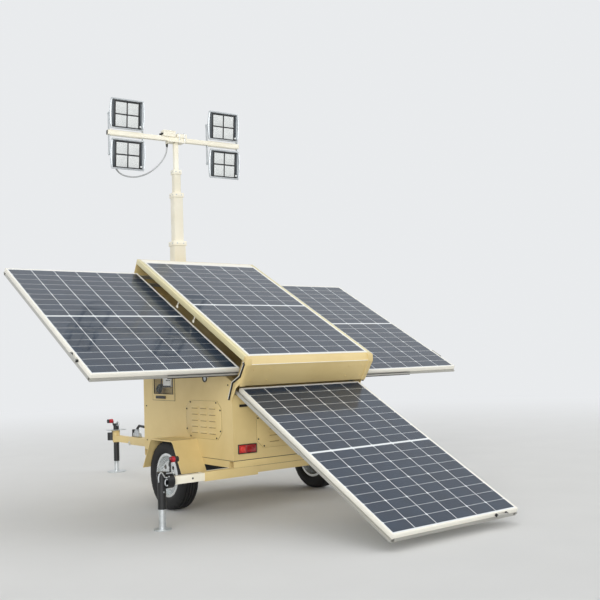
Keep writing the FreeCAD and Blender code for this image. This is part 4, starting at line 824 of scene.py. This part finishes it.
screwMaster = makeScrew()
for name, places, finish, slot in (
        ("panelFixings", panelFixings, "blackZincScrew", "black_paint"),
        ("hoodFixings", hoodFixings, "powderCoatSand", "sand_paint")):
    heads = []
    for place, facing in places:
        aim = Vector(facing).to_track_quat("Z", "Y").to_matrix().to_4x4()
        heads.append(copied(screwMaster, Matrix.Translation(place) @ aim))
    settle(name, "trailer", finish, heads)
bpy.data.objects.remove(screwMaster)


# Shadow gaps: the slots under the louvre hoods, the gaskets round the vent plates, and the seams
# between the cabinet and its frame

vents = {
    "rows": 5,
    "slot": 0.084,
    "slotHeight": 0.005,
    "rise": 0.046,              # from row to row
    "middle": -0.0075,          # top of the middle row's slots
    "gasket": 0.0014,
    "halfHeight": 0.141,
    "chamfer": 0.055,
    "side": (0.123, 3, 0.247),  # pitch, columns and half the width of a side panel
    "rear": (0.117, 5, 0.390),
}


# place takes a step along, one up and one out from a vent panel's middle to a point
def makeVent(place, pitch, columns, half):
    slots = []
    for column in range(columns):
        for row in range(vents["rows"]):
            along = (column - (columns - 1) / 2) * pitch
            high = vents["middle"] + (row - (vents["rows"] - 1) / 2) * vents["rise"]
            ends = [place(along - vents["slot"] / 2, high - vents["slotHeight"], 0.0015),
                    place(along + vents["slot"] / 2, high, 0.0025)]
            slots.append(addBlock(*([pick(a, b) for a, b in zip(*ends)] for pick in (min, max)), 0.0003, 1))
    tall, cut = vents["halfHeight"], vents["chamfer"]
    corners = [(half - cut, tall), (half, tall - cut), (half, cut - tall), (half - cut, -tall)]
    corners += [(-along, high) for along, high in reversed(corners)]
    gasket = addRod([place(along, high, 0.0004) for along, high in corners], vents["gasket"], True)
    return slots + [gasket]


leftSlots = makeVent(lambda along, up, out: (wallFace - out, sideVent[0] + along, sideVent[1] + up),
                     *vents["side"])
rearSlots = makeVent(lambda along, up, out: (along, rearFace - out, rearVent[1] + up), *vents["rear"])
settle("ventShadows", "trailer", "shadedCoat", bothSides(*leftSlots) + rearSlots)
seams = [addBlock((-0.598, rearFace - 0.0015, 0.3975), (0.598, rearFace + 0.002, 0.4018), 0.0005, 1),
         addBlock((-0.598, rearFace - 0.0010, 0.3490), (0.598, rearFace + 0.002, 0.3508), 0.0004, 1)]
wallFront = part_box("left_wall")[1].y - 0.002
seams += bothSides(addBlock((-0.5982, rearFace + 0.002, 0.3985), (-0.594, wallFront, 0.4015), 0.0005, 1))
settle("frameSeams", "trailer", "blackPlastic", seams)
print("fixings made")


# Tail lamps: a black bezel round two lens fields, the outer one and its round window painted brighter, as
# painted light

tailLamp = {
    "outer": 0.560,
    "width": 0.163,
    "bottom": 0.446,
    "height": 0.068,
    "depth": 0.009,
    "bezel": 0.006,
    "outerLens": 0.066,     # width of the outer field
    "gap": 0.003,           # between the fields
    "bulb": 0.021,          # radius of the round window
}


def makeTailLamp():
    bezel = tailLamp["bezel"]
    left, front, bottom = -tailLamp["outer"], rearFace - tailLamp["depth"], tailLamp["bottom"]
    right, top = left + tailLamp["width"], bottom + tailLamp["height"]
    shell = addBlock((left, front, bottom), (right, rearFace, top), 0.003, 3)
    pressIn(shell, lambda f: f.normal.y < -0.99, bezel - 0.003, (0, 0.003, 0))
    split = left + bezel + tailLamp["outerLens"]
    spans = ((left + bezel, split - tailLamp["gap"] / 2), (split + tailLamp["gap"] / 2, right - bezel))
    fields = [addBlock((start, front + 0.001, bottom + bezel), (end, rearFace - 0.003, top - bezel),
                       0.002, 3) for start, end in spans]
    middle, level = (left + bezel + split) / 2, (bottom + top) / 2
    bulb = addRound((middle, front + 0.003, level), (middle, front - 0.0005, level),
                    tailLamp["bulb"], 0.0012, 28, tailLamp["bulb"] - 0.002)
    return shell, fields, bulb


bezel, (outerLens, innerLens), bulb = makeTailLamp()
settle("tailLampBezels", "trailer", "blackPlastic", bothSides(bezel), ["tail_lamps"])
# the outer field and the round window are painted light: paler red for light showing through the lens
settle("tailLampOuterLenses", "trailer", "redLensPaintedLight", bothSides(outerLens))
settle("tailLampBulbs", "trailer", "redLensPaintedGlow", bothSides(bulb))
settle("tailLampInnerLenses", "trailer", "redLens", bothSides(innerLens))


# Cheek seals: a fat black bulb down the front edge of each cheek of the hood, and along it a folded
# edge drawn in pale aluminium as a painted highlight

cheekSeal = {
    "out": 0.6045,
    "bulb": 0.0072,         # radius of the bulb
    "in": -0.0125,          # how far up the slope it lies from the cheek's edge
    "edge": 0.0042,         # the same two for the folded edge
    "edgeIn": -0.001,
    # the cheeks' edges: up the slope and below the array's face
    "left": ((-0.002, -0.047), (-0.014, -0.059), (-0.005, -0.158), (0.058, -0.242), (0.048, -0.375)),
    "right": ((-0.002, -0.047), (-0.014, -0.059), (-0.005, -0.158), (-0.001, -0.247), (0.056, -0.268),
              (0.048, -0.375)),
}
bulbs, edges = [], []
for side, sign in (("left", -1), ("right", 1)):
    for rods, radius, shift in ((bulbs, "bulb", "in"), (edges, "edge", "edgeIn")):
        rods.append(addRod([arrayPlace @ Vector((sign * cheekSeal["out"], up + cheekSeal[shift], drop))
                            for up, drop in cheekSeal[side]], cheekSeal[radius]))
settle("cheekSealBulbs", "trailer", "epdmRubber", bulbs, ["hood_seals"])
# the folded edges are pale aluminium on a sand hood: a painted highlight
settle("cheekEdgeHighlights", "trailer", "anodisedAluminium", edges)
# a cream rod along the hood's fold: a painted highlight where the fold catches the light
creaseGlint = addRod([arrayPlace @ Vector((across, -0.0435, -0.0500)) for across in (-0.5575, 0.5575)], 0.0027)
settle("hoodCreaseHighlight", "trailer", "powderCoatCream", [creaseGlint])
# each clip hangs from the top rail by a short stem
clips = []
for up in (0.73, 1.00):
    clips.append(addBlock((-0.6035, up - 0.012, -0.093), (wallFace, up + 0.012, -0.074), 0.002))
    clips.append(addBlock((-0.6000, up - 0.005, -0.076), (wallFace, up + 0.005, -0.0448), 0.0008))
settle("sideClips", "trailer", "powderCoatCream", bothSides(*clips), place=arrayPlace)


# Latches: a round recessed ring on the left wall, and flat slot latches on the rear wall

ringLatch = {"centre": (wallFace, 0.540 + shiftY, 0.988), "radius": 0.023, "bar": 0.0042}


def makeRingLatch():
    x, y, z = ringLatch["centre"]
    ring = addRing((x - 0.004, y, z), ringLatch["radius"], ringLatch["bar"], (1, 1.15, 0.8), 40, 10)
    boss = addRound((x - 0.001, y - 0.047, z + 0.012), (x - 0.008, y - 0.047, z + 0.012), 0.007, 0.0015, 20)
    plate = addRound((x, y, z), (x - 0.0018, y, z), 0.021, 0.0008, 32)
    return ring, [boss, plate]


ring, cup = makeRingLatch()
settle("wallRingLatch", "trailer", "blackPlastic", [ring])
settle("wallLatchCup", "trailer", "zincPlatedSteel", cup)
rearLatch = addBlock((-0.539, rearFace - 0.008, 0.781), (-0.469, rearFace, 0.800), 0.003, 3)
pressIn(rearLatch, lambda f: f.normal.y < -0.99, 0.003, (0, 0.004, 0))
settle("rearSlotLatches", "trailer", "blackPlastic", bothSides(rearLatch))
print("latches and tail lamps made")


# Hatch: a gasket behind the lid, a dark slot grip, hinge knuckles and the controls behind the pane

hatch = {
    "rear": 0.990 + shiftY,
    "front": 1.345 + shiftY,
    "bottom": 0.811,
    "top": 1.130,
    "knuckles": 5,
    "knuckle": (0.060, 0.0047),     # length and radius
    "endGap": 0.012,                # from the lid's corners to the hinge
    "margin": 0.026,                # round the window, and twice that below it
    "trim": 0.0036,                 # radius of the window's trim
    "gasket": 0.0024,
}


def makeHatch():
    rear, front, bottom, top = (hatch[key] for key in ("rear", "front", "bottom", "top"))
    # the slot stands over the lid's own grip
    start, end = (rear + front) / 2 - 0.039, (rear + front) / 2 + 0.119
    grip = addBlock((wallFace - 0.0105, start, bottom + 0.013), (wallFace - 0.002, end, bottom + 0.036),
                    0.004, 3)
    pressIn(grip, lambda f: f.normal.x < -0.99, 0.004, (0.0006, 0, 0))
    knuckles = []
    length, radius = hatch["knuckle"]
    for i in range(hatch["knuckles"]):
        y = rear + hatch["endGap"] + i * (front - rear - 2 * hatch["endGap"]) / hatch["knuckles"]
        x, z = wallFace - 0.0045, top + 0.002
        knuckles.append(addRound((x, y, z), (x, y + length, z), radius, 0.0008, 16))

    def border(out, low, high, near, far, thick):
        corners = ((near, low), (far, low), (far, high), (near, high))
        return addRod([(wallFace - out, y, z) for y, z in corners], thick, True)

    margin = hatch["margin"]
    trim = border(0.003, bottom + 2 * margin, top - margin, rear + margin, front - margin, hatch["trim"])
    # the gasket is real, and its black line round the lid is also painted shade, standing for the shadow in
    # the gap round it
    gasket = border(0.0008, bottom, top, rear, front, hatch["gasket"])
    return grip, knuckles, [trim, gasket]


grip, knuckles, trim = makeHatch()
settle("hatchGrip", "lid", "blackPlastic", [grip])
settle("hatchHinge", "lid", "powderCoatSand", knuckles)
settle("hatchWindowTrim", "lid", "blackPlastic", trim)

controls = {
    "face": -0.542,
    "unit": (1.098 + shiftY, 1.226 + shiftY, 0.918, 1.000),     # rear, front, foot and top
    "keys": (0.018, 0.042, 0.066),      # forward from the unit's rear
    "keyHeight": 0.052,                 # above its foot
    "lead": 0.0046,                     # radius
    "loops": 4,
    "tail": ((-0.552, 1.292 + shiftY, 0.925), (-0.540, 1.303 + shiftY, 0.985),
             (-0.530, 1.303 + shiftY, 1.060)),
}


def makeControls():
    face = controls["face"]
    rear, front, low, high = controls["unit"]
    cover = addBlock((face - 0.030, rear, low), (face + 0.002, front, high), 0.004, 3)
    # a black strip along the unit's foot: painted shadow under the unit
    underShadow = addBlock((face - 0.0305, rear + 0.004, low - 0.004),
                      (face + 0.001, front - 0.004, low + 0.010), 0.0008)
    level = low + controls["keyHeight"]
    keys = [addRound((face - 0.029, rear + step, level), (face - 0.0335, rear + step, level),
                     0.0060, 0.0012, 20) for step in controls["keys"]]
    # a spare lead wound in loops on the tray's floor, each loop wider and lower than the last
    leads = []
    for i in range(controls["loops"]):
        x, y, z = -0.560 - 0.006 * i, 1.280 + 0.004 * i + shiftY, 0.902 + 0.002 * i
        wide, tall = 0.015 + 0.002 * i, 0.036 - 0.003 * i
        loop = [(x + 0.012 * math.sin(turn), y + wide * math.cos(turn), z + tall * math.sin(turn))
                for turn in around(20)]
        leads.append(addRod(loop, controls["lead"], True))
    leads.append(addRod(controls["tail"], controls["lead"]))
    return cover, underShadow, keys, leads


cover, underShadow, keys, leads = makeControls()
settle("controlCover", "trailer", "paleAbs", [cover])
settle("controlKeysAndShadow", "trailer", "blackPlastic", [underShadow, *keys])
settle("controlLeads", "trailer", "blackPlastic", leads)
print("hatch made")


# Jacks: a red grip on each crank, pins in the tubes, and what stands on the head of each one

jacks = {
    # axis: x and y. side: 1 where the crank points to +x. reach: ends of the grip from the axis.
    # knob: the grip's height. thick: its radius. pins: height of the two pins in the tube
    "left": {"axis": (-1.165, 0.2085 + shiftY), "side": 1, "body": "left_outrigger", "pins": 0.252,
             "reach": (0.072, 0.129), "knob": 0.460, "thick": 0.021},
    "right": {"axis": (1.165, 0.2085 + shiftY), "side": -1, "body": "right_outrigger", "pins": 0.252,
              "reach": (0.072, 0.129), "knob": 0.460, "thick": 0.021},
    "tow": {"axis": (0.0, 3.245 + shiftY), "side": -1, "body": "trailer", "pins": 0.360,
            "reach": (0.038, 0.093), "knob": 0.520, "thick": 0.022},
}
towPlate = {"foot": 0.4235, "top": 0.4305, "half": 0.0885, "deep": 0.0555, "hole": 0.0295}
jackHead = {
    # a bent wire across the tube's head: across from the axis, and height
    "wire": ((-0.040, 0.322), (-0.041, 0.350), (-0.036, 0.372), (-0.024, 0.385), (-0.012, 0.381),
             (-0.003, 0.365), (0.006, 0.352), (0.019, 0.346), (0.032, 0.347), (0.042, 0.354)),
    "wireRadius": 0.0045,
    "shackle": (0.021, 0.314, 0.014, 0.022, 0.0040),    # across, height, half width, half height, radius
    "bolt": 0.3705,                                     # height
}


# the crank's ring, seen end on over the plate, and the plate in four pieces round the tube
def makeTowHead(x, y, side):
    ring = addRod([(x + side * 0.004, y - 0.044 + 0.020 * math.cos(turn), 0.490 + 0.020 * math.sin(turn))
                   for turn in around(20)], 0.0060, True)
    foot, top, half, deep, hole = (towPlate[key] for key in ("foot", "top", "half", "deep", "hole"))
    plates = []
    for end in (-1, 1):
        near, far = sorted((x + end * hole, x + end * half))
        plates.append(addBlock((near, y - deep, foot), (far, y + deep, top), 0.0015))
    for end in (-1, 1):
        near, far = sorted((y + end * hole, y + end * deep))
        plates.append(addBlock((x - 0.0300, near, foot), (x + 0.0300, far, top), 0.0010))
    return [ring, *plates]


# the wire across a rear jack's head, the shackle on its swivel and the bolt through it
def makeRearHead(x, y, side):
    line = [(x + side * across, y - 0.0325, z) for across, z in jackHead["wire"]]
    wire = addRod(line, jackHead["wireRadius"])
    middle, level, wide, tall, radius = jackHead["shackle"]
    line = [(x + side * (middle + wide * math.cos(turn)), y - 0.0335, level + tall * math.sin(turn))
            for turn in around(24)]
    shackle = addRod(line, radius, True)
    z = jackHead["bolt"]
    bolt = addRound((x + side * 0.022, y - 0.010, z), (x + side * 0.086, y - 0.010, z), 0.0052, 0.001, 20)
    nut = addRound((x + side * 0.078, y - 0.010, z), (x + side * 0.090, y - 0.010, z), 0.0085, 0.0015, 20)
    return [wire, shackle, bolt, nut]


for name, jack in jacks.items():
    x, y = jack["axis"]
    side, level = jack["side"], jack["pins"]
    near, far = ((x + side * step, y, jack["knob"]) for step in jack["reach"])
    grip = addRound(near, far, jack["thick"], 0.006, 32, jack["thick"] * 0.86)
    settle(name + "CrankGrip", jack["body"], "redPlastic", [grip])
    pins = [addRound((x, y + end * 0.0262, level), (x, y + end * 0.0300, level), 0.005, 0.001, 16)
            for end in (-1, 1)]
    head = makeTowHead(x, y, side) if name == "tow" else makeRearHead(x, y, side)
    settle(name + "JackFittings", jack["body"], "zincPlatedSteel", [*pins, *head])
print("jack fittings made")


# Drawbar fittings: the coupler's latch, the parking brake's ratchet and grip, safety chain eyes

drawbar = {
    "tip": 3.4015 + shiftY,
    "top": 0.370,
    "brake": 2.780 + shiftY,
    "spineTop": 0.378,
    "eye": (0.0400, 2.880 + shiftY, 0.312),
    "eyeRadius": 0.016,
    "eyeBar": 0.0045,
}


def makeCouplerLatch():
    y, z = drawbar["tip"], drawbar["top"] + 0.020
    lever = addRod([(0, y - 0.050, z - 0.012), (0, y - 0.066, z + 0.016), (0, y - 0.083, z + 0.027),
                    (0, y - 0.104, z + 0.027)], 0.007)
    hinge = addRound((-0.030, y - 0.052, z - 0.012), (0.030, y - 0.052, z - 0.012), 0.008, 0.001, 20)
    return [lever, hinge]


settle("couplerLatch", "trailer", "zincPlatedSteel", makeCouplerLatch())


def makeBrake():
    y, z = drawbar["brake"], drawbar["spineTop"]
    sector = addRound((-0.012, y, z + 0.034), (0.012, y, z + 0.034), 0.046, 0.002, 40)
    bolts = [addRound((-0.019, y + step, z + 0.016), (0.019, y + step, z + 0.016), 0.006, 0.001, 6)
             for step in (-0.055, 0.055)]
    base = addBlock((-0.0175, y - 0.0615, z + 0.0005), (0.0175, y + 0.0615, z + 0.0415), 0.006, 3)
    grip = addRod([(0, y + 0.030, z + 0.060), (0, y - 0.040, z + 0.112), (0, y - 0.150, z + 0.106)], 0.0125)
    toe = addBlock((-0.012, y + 0.066, z - 0.001), (0.012, y + 0.094, z + 0.072), 0.005, 3)
    return sector, [*bolts, base], [grip, toe]


sector, bolts, grip = makeBrake()
settle("brakeSector", "trailer", "zincPlatedSteel", [sector, *bolts])
settle("brakeGrip", "trailer", "blackPlastic", grip)

eye = addRing(drawbar["eye"], drawbar["eyeRadius"], drawbar["eyeBar"], (1, 1, 0.9), 28)
settle("chainEyes", "trailer", "zincPlatedSteel", bothSides(eye))
print("drawbar fittings made")


# Mast: guide bolts in each collar, and the hoist rope on the winch's drum and up to the first collar

collars = {
    # body, half of the collar's width, the collar's top
    "first": ("trailer", 0.063, 2.221),
    "second": ("mast_2", 0.051, 2.672),
    "third": ("mast_3", 0.039, 2.889),
}
boltMaster = addRound((0, 0, 0), (0.005, 0, 0), 0.0065, 0.001, 6)
for name, (body, half, top) in collars.items():
    bolts = []
    for quarter in around(4):
        for step in (-0.5, 0.5):
            spot = Matrix.Translation((half - 0.001, step * half, top - 0.020))
            bolts.append(copied(boltMaster, mastAxis @ Matrix.Rotation(quarter, 4, "Z") @ spot))
    settle(name + "CollarBolts", body, "zincPlatedSteel", bolts, place=mastPlace)
bpy.data.objects.remove(boltMaster)


rope = {
    "turns": 9,
    "pitch": 0.009,
    "drum": 0.032,          # radius of the turns
    "radius": 0.004,
    "level": 1.210,         # the drum's axis: height, and how far it lies in front of the mast's
    "ahead": 0.101,
}


def makeWinchRope():
    y, z = mastY + rope["ahead"], rope["level"]
    turns = [addRing((rope["pitch"] * (i - (rope["turns"] - 1) / 2), y, z), rope["drum"], 0.0048)
             for i in range(rope["turns"])]
    fall = addRod([(0.0, y + 0.034, z), (0.0, y + 0.022, z + 0.30), (0.0, mastY + 0.0665, 2.16)],
                  rope["radius"])
    return [*turns, fall]


settle("hoistRope", "trailer", "zincPlatedSteel", makeWinchRope(), place=mastPlace)


# On top of the mast head: a lid and glands on the junction box, and two U bolts over the bar

mastTop = {
    "lid": ((-0.132, -0.034, 3.243), (-0.008, 0.034, 3.253)),       # y from the mast's axis
    "gland": (-0.131, -0.152, 3.219),                               # inner and outer end, height
    "glands": (-0.017, 0.017),
    "bows": (0.030, 0.085),
    "bow": ((-0.026, 3.155), (-0.026, 3.229), (-0.012, 3.241), (0.012, 3.241), (0.026, 3.229),
            (0.026, 3.155)),
}


def makeHead():
    lid = addBlock(*(mastAxis @ Vector(corner) for corner in mastTop["lid"]), 0.003, 3)
    near, far, level = mastTop["gland"]
    glands = [addRound((near, mastY + step, level), (far, mastY + step, level), 0.010, 0.002, 6, 0.008)
              for step in mastTop["glands"]]
    bows = [addRod([(x, mastY + out, z) for out, z in mastTop["bow"]], 0.004) for x in mastTop["bows"]]
    return [lid], glands, bows


lid, glands, bows = makeHead()
settle("junctionLid", "mast_4", "powderCoatCream", lid, place=mastPlace)
settle("junctionGlands", "mast_4", "blackPlastic", glands, place=mastPlace)
settle("barBows", "mast_4", "zincPlatedSteel", bows, place=mastPlace)
print("mast fittings made")


# Backs of the modules: a white backsheet and three small junction boxes on each

moduleBack = {
    "half": 0.539,              # across
    "ends": (0.028, 1.694),     # up the slope from the module's lower end
    "thickness": 0.0012,
    "under": 0.0066,            # below the module's face
    "boxes": (-0.36, 0.0, 0.36),
    "box": (0.030, 0.840, 0.882, 0.017),        # half its width, its lower and upper end, its height
}
moduleBodies = {
    # body, middle across, lower end up the slope, drop of the module's face
    "fixed": ("trailer", 0.0, 0.0, 0.0),
    "left": ("left_wing", -1.150, 0.040, 0.120),
    "right": ("right_wing", 1.150, 0.040, 0.190),
    "rear": ("rear_wing", 0.0, -1.722, 0.260),
}
for name, (body, across, start, drop) in moduleBodies.items():
    top, half = -drop - moduleBack["under"], moduleBack["half"]
    low, high = (start + end for end in moduleBack["ends"])
    backsheet = addBlock((across - half, low, top - moduleBack["thickness"]), (across + half, high, top),
                         0.0003, 1)
    settle(name + "Backsheet", body, "whiteBacksheet", [backsheet], place=arrayPlace)
    half, low, high, deep = moduleBack["box"]
    boxes = [addBlock((middle - half, start + low, top - deep), (middle + half, start + high, top), 0.004)
             for middle in (across + step for step in moduleBack["boxes"])]
    settle(name + "ModuleBoxes", body, "blackPlastic", boxes, place=arrayPlace)
print("module backs made")


# Slides: black strips of painted shadow along the middle members, where the gaps by the ledges and webs fall
# in shade, and black feet under the pull handles

slideShadeLines = {
    "ledgeShade": (0.0312, 0.0317),                          # on the ledge, below the module's face
    "lower": (0.0452, 0.0518),
    "ledges": ((0.0236, 0.0348), (1.7672, 1.7784)),     # up the slope
    "webs": ((0.0231, 0.0245), (1.7775, 1.7789)),
    "half": 0.5895,
}
for body, middle, drop in (("left_mid", -0.575, 0.120), ("right_mid", 0.575, 0.190)):
    left, right = middle - slideShadeLines["half"], middle + slideShadeLines["half"]
    strips = []
    for row, places in (("ledgeShade", "ledges"), ("lower", "webs")):
        high, low = (-drop - step for step in slideShadeLines[row])
        strips += [addBlock((left, near, low), (right, far, high), 0.0002, 1) for near, far in slideShadeLines[places]]
    # each black strip is painted shadow along a gap at the slide
    settle(body + "Lips", body, "blackPlastic", strips, place=arrayPlace)
pullFeet = {
    # body, the feet's middles across and up the slope, half a foot's size, drop of the module's face
    "left": ("left_wing", ((-1.7275, 0.246), (-1.7275, 0.344)), (0.0105, 0.0068), 0.120),
    "right": ("right_wing", ((1.7275, 0.246), (1.7275, 0.344)), (0.0105, 0.0068), 0.190),
    "rear": ("rear_wing", ((0.346, -1.7325), (0.444, -1.7325)), (0.0068, 0.0102), 0.260),
}
for name, (body, spots, (wide, long), drop) in pullFeet.items():
    feet = [addBlock((x - wide, up - long, -drop - 0.0206), (x + wide, up + long, -drop - 0.0034), 0.002)
            for x, up in spots]
    settle(name + "PullFeet", body, "blackPlastic", feet, place=arrayPlace)
print("slide lips made")


# An aluminium angle closes the gap between the fixed module's upper end and the housing's end wall,
# and each outrigger beam has a pin hole in its face, drawn as a black disc of painted shade

endAngle = {
    "half": 0.568,
    "end": 1.7818,
    "lip": (1.7235, -0.0062, -0.0042),      # start up the slope, lower and upper side from the array's face
    "web": (1.7798, -0.0220, -0.0050),
}
angle = [addBlock((-endAngle["half"], start, low), (endAngle["half"], endAngle["end"], high), 0.0006, 1)
         for start, low, high in (endAngle["lip"], endAngle["web"])]
settle("endAngle", "trailer", "anodisedAluminium", angle, place=arrayPlace)
for side, across in (("left", -0.937), ("right", 0.937)):
    beamLow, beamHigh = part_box(side + "_outrigger_beam")
    level = (beamLow.z + beamHigh.z) / 2
    hole = addRound((across, beamLow.y + 0.002, level), (across, beamLow.y - 0.0003, level),
                    0.0070, 0.0003, 24)
    settle(side + "PinHole", side + "_outrigger", "blackPlastic", [hole])


# Fender lips: a rolled edge round the outside of each fender

fender = {
    "outer": 0.812,
    "middle": 0.844 + shiftY,
    # from the foot of one end to the middle of the top: out from the middle, and height
    "line": ((0.293, 0.304), (0.177, 0.508), (0.155, 0.526)),
    "roll": 0.0045,
}


def makeFenderLip():
    x, middle = fender["roll"] - fender["outer"], fender["middle"]
    line = [(x, middle + out, z) for out, z in fender["line"]]
    line += [(x, middle - out, z) for out, z in reversed(fender["line"])]
    return addRod(line, fender["roll"])


settle("fenderLips", "trailer", "powderCoatSand", bothSides(makeFenderLip()))


# Rolled and folded edges: copies of the plain solids with their corners eased, so that edges catch light

def eased(node, body, finish, width):
    source = nodes[node]
    choose(source)
    bpy.ops.object.duplicate(linked=False)
    twin = bpy.context.object
    twin.parent = None
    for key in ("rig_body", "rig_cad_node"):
        if key in twin:
            del twin[key]
    bpy.ops.object.mode_set(mode="EDIT")
    bpy.ops.mesh.select_all(action="SELECT")
    bpy.ops.mesh.remove_doubles(threshold=0.00002)
    bpy.ops.mesh.dissolve_limited(angle_limit=math.radians(1.5))
    leaveEdit()
    softened(twin, width, 2, 30)
    return settle(node + "Eased", body, finish, [twin], [node])


easedNodes = {
    # node: body, finish, slot, radius of the edge
    "rear_hood": ("trailer", "powderCoatSand", "sand_paint", 0.0014),
    # the top rails take the paler copy of the sand coat, a painted highlight
    "housing_top_frame": ("trailer", "sandCoatPaintedGlare", "sand_paint", 0.0025),
    "rear_beam_and_sleeves": ("trailer", "powderCoatSand", "sand_paint", 0.0018),
    "drawbar": ("trailer", "powderCoatSand", "sand_paint", 0.0025),
    "vent_panels": ("trailer", "powderCoatSand", "sand_paint", 0.0008),
    "left_outrigger_beam": ("left_outrigger", "powderCoatCream", "cream_paint", 0.0018),
    "right_outrigger_beam": ("right_outrigger", "powderCoatCream", "cream_paint", 0.0018),
    "mast_section_1": ("trailer", "powderCoatCream", "cream_paint", 0.0018),
    "mast_section_2": ("mast_2", "powderCoatCream", "cream_paint", 0.0018),
    "mast_section_3": ("mast_3", "powderCoatCream", "cream_paint", 0.0018),
    "mast_section_4": ("mast_4", "powderCoatCream", "cream_paint", 0.0018),
    "crossbar": ("mast_4", "powderCoatCream", "cream_paint", 0.0012),
    "fixed_module_frame": ("trailer", "anodisedAluminium", "anodised_frame", 0.001),
    "left_panel_frame": ("left_wing", "anodisedAluminium", "anodised_frame", 0.001),
    "right_panel_frame": ("right_wing", "anodisedAluminium", "anodised_frame", 0.001),
    "rear_panel_frame": ("rear_wing", "anodisedAluminium", "anodised_frame", 0.001),
}
for node, (body, finish, slot, width) in easedNodes.items():
    eased(node, body, finish, width)
print("edges eased")


# Stage

studio = {
    "floor": ("#DCDCDA", "#D6D6D4"),
    "floorSize": 120,
    "fade": (3.0, 14.0),            # metres from the middle, where the floor turns into the air
    "air": "#F2F4F6",
    "airLight": (0.55, 0.92),       # how bright the air is as light, and where it is seen or mirrored
    # direction, spread in degrees, power
    "softKey": ((-7.5, -5.8, 3.0), 35, 1.35),
    "softLow": ((-3.0, -7.5, 0.8), 30, 0.85),
    "softFill": ((7.0, -4.0, 3.8), 45, 0.85),
    "softTop": ((0, 1.5, 7.8), 50, 0.55),
}


# pale where it is seen or mirrored, softer as light
def addAir(tree, kind):
    rays = addNode(tree, "LightPath")
    seen = rays.outputs["Is Camera Ray"]
    for other in ("Is Glossy Ray", "Is Transmission Ray"):
        either = addNode(tree, "Math", {"operation": "MAXIMUM"}, {0: seen, 1: rays.outputs[other]})
        seen = either.outputs["Value"]
    dim, bright = studio["airLight"]
    level = addNode(tree, "MapRange", {"To Min": dim, "To Max": bright}, {"Value": seen})
    return addNode(tree, kind, {"Color": shade(studio["air"])}, {"Strength": level.outputs["Result"]})


# a matte floor that fades into the air far from the trailer
def addFloor():
    bpy.ops.mesh.primitive_plane_add(size=studio["floorSize"], location=(0, 0, -0.0005))
    floor = bpy.context.object
    floor.name = "studioFloor"
    material, tree, place = startMaterial("paleFloor")
    mottle = addNode(tree, "TexNoise", {"Scale": 2.0}, {"Vector": place})
    light, dark = studio["floor"]
    pale = addNode(tree, "MixRGB", {"Color1": shade(light), "Color2": shade(dark)},
                   {"Fac": mottle.outputs["Fac"]})
    matte = addNode(tree, "BsdfPrincipled", {"Roughness": 0.9}, {"Base Color": pale.outputs["Color"]})
    reach = addNode(tree, "VectorMath", {"operation": "LENGTH"}, {0: place})
    near, far = studio["fade"]
    fade = addNode(tree, "MapRange", {"From Min": near, "From Max": far, "interpolation_type": "SMOOTHSTEP"},
                   {"Value": reach.outputs["Value"]})
    sweep = addNode(tree, "MixShader", links={"Fac": fade.outputs["Result"], 1: matte.outputs["BSDF"],
                                              2: addAir(tree, "Emission").outputs["Emission"]})
    endMaterial(tree, sweep.outputs["Shader"])
    floor.data.materials.append(material)
    return floor


addCamera()
addFloor()

world = bpy.context.scene.world or bpy.data.worlds.new("studio")
bpy.context.scene.world = world
world.use_nodes = True
sky = world.node_tree
sky.nodes.clear()
air = addAir(sky, "Background")
addNode(sky, "OutputWorld", links={"Surface": air.outputs["Background"]})
bpy.context.scene.view_settings.view_transform = "Standard"

for name in ("softKey", "softLow", "softFill", "softTop"):
    addLamp(name, *studio[name])
print("stage made")
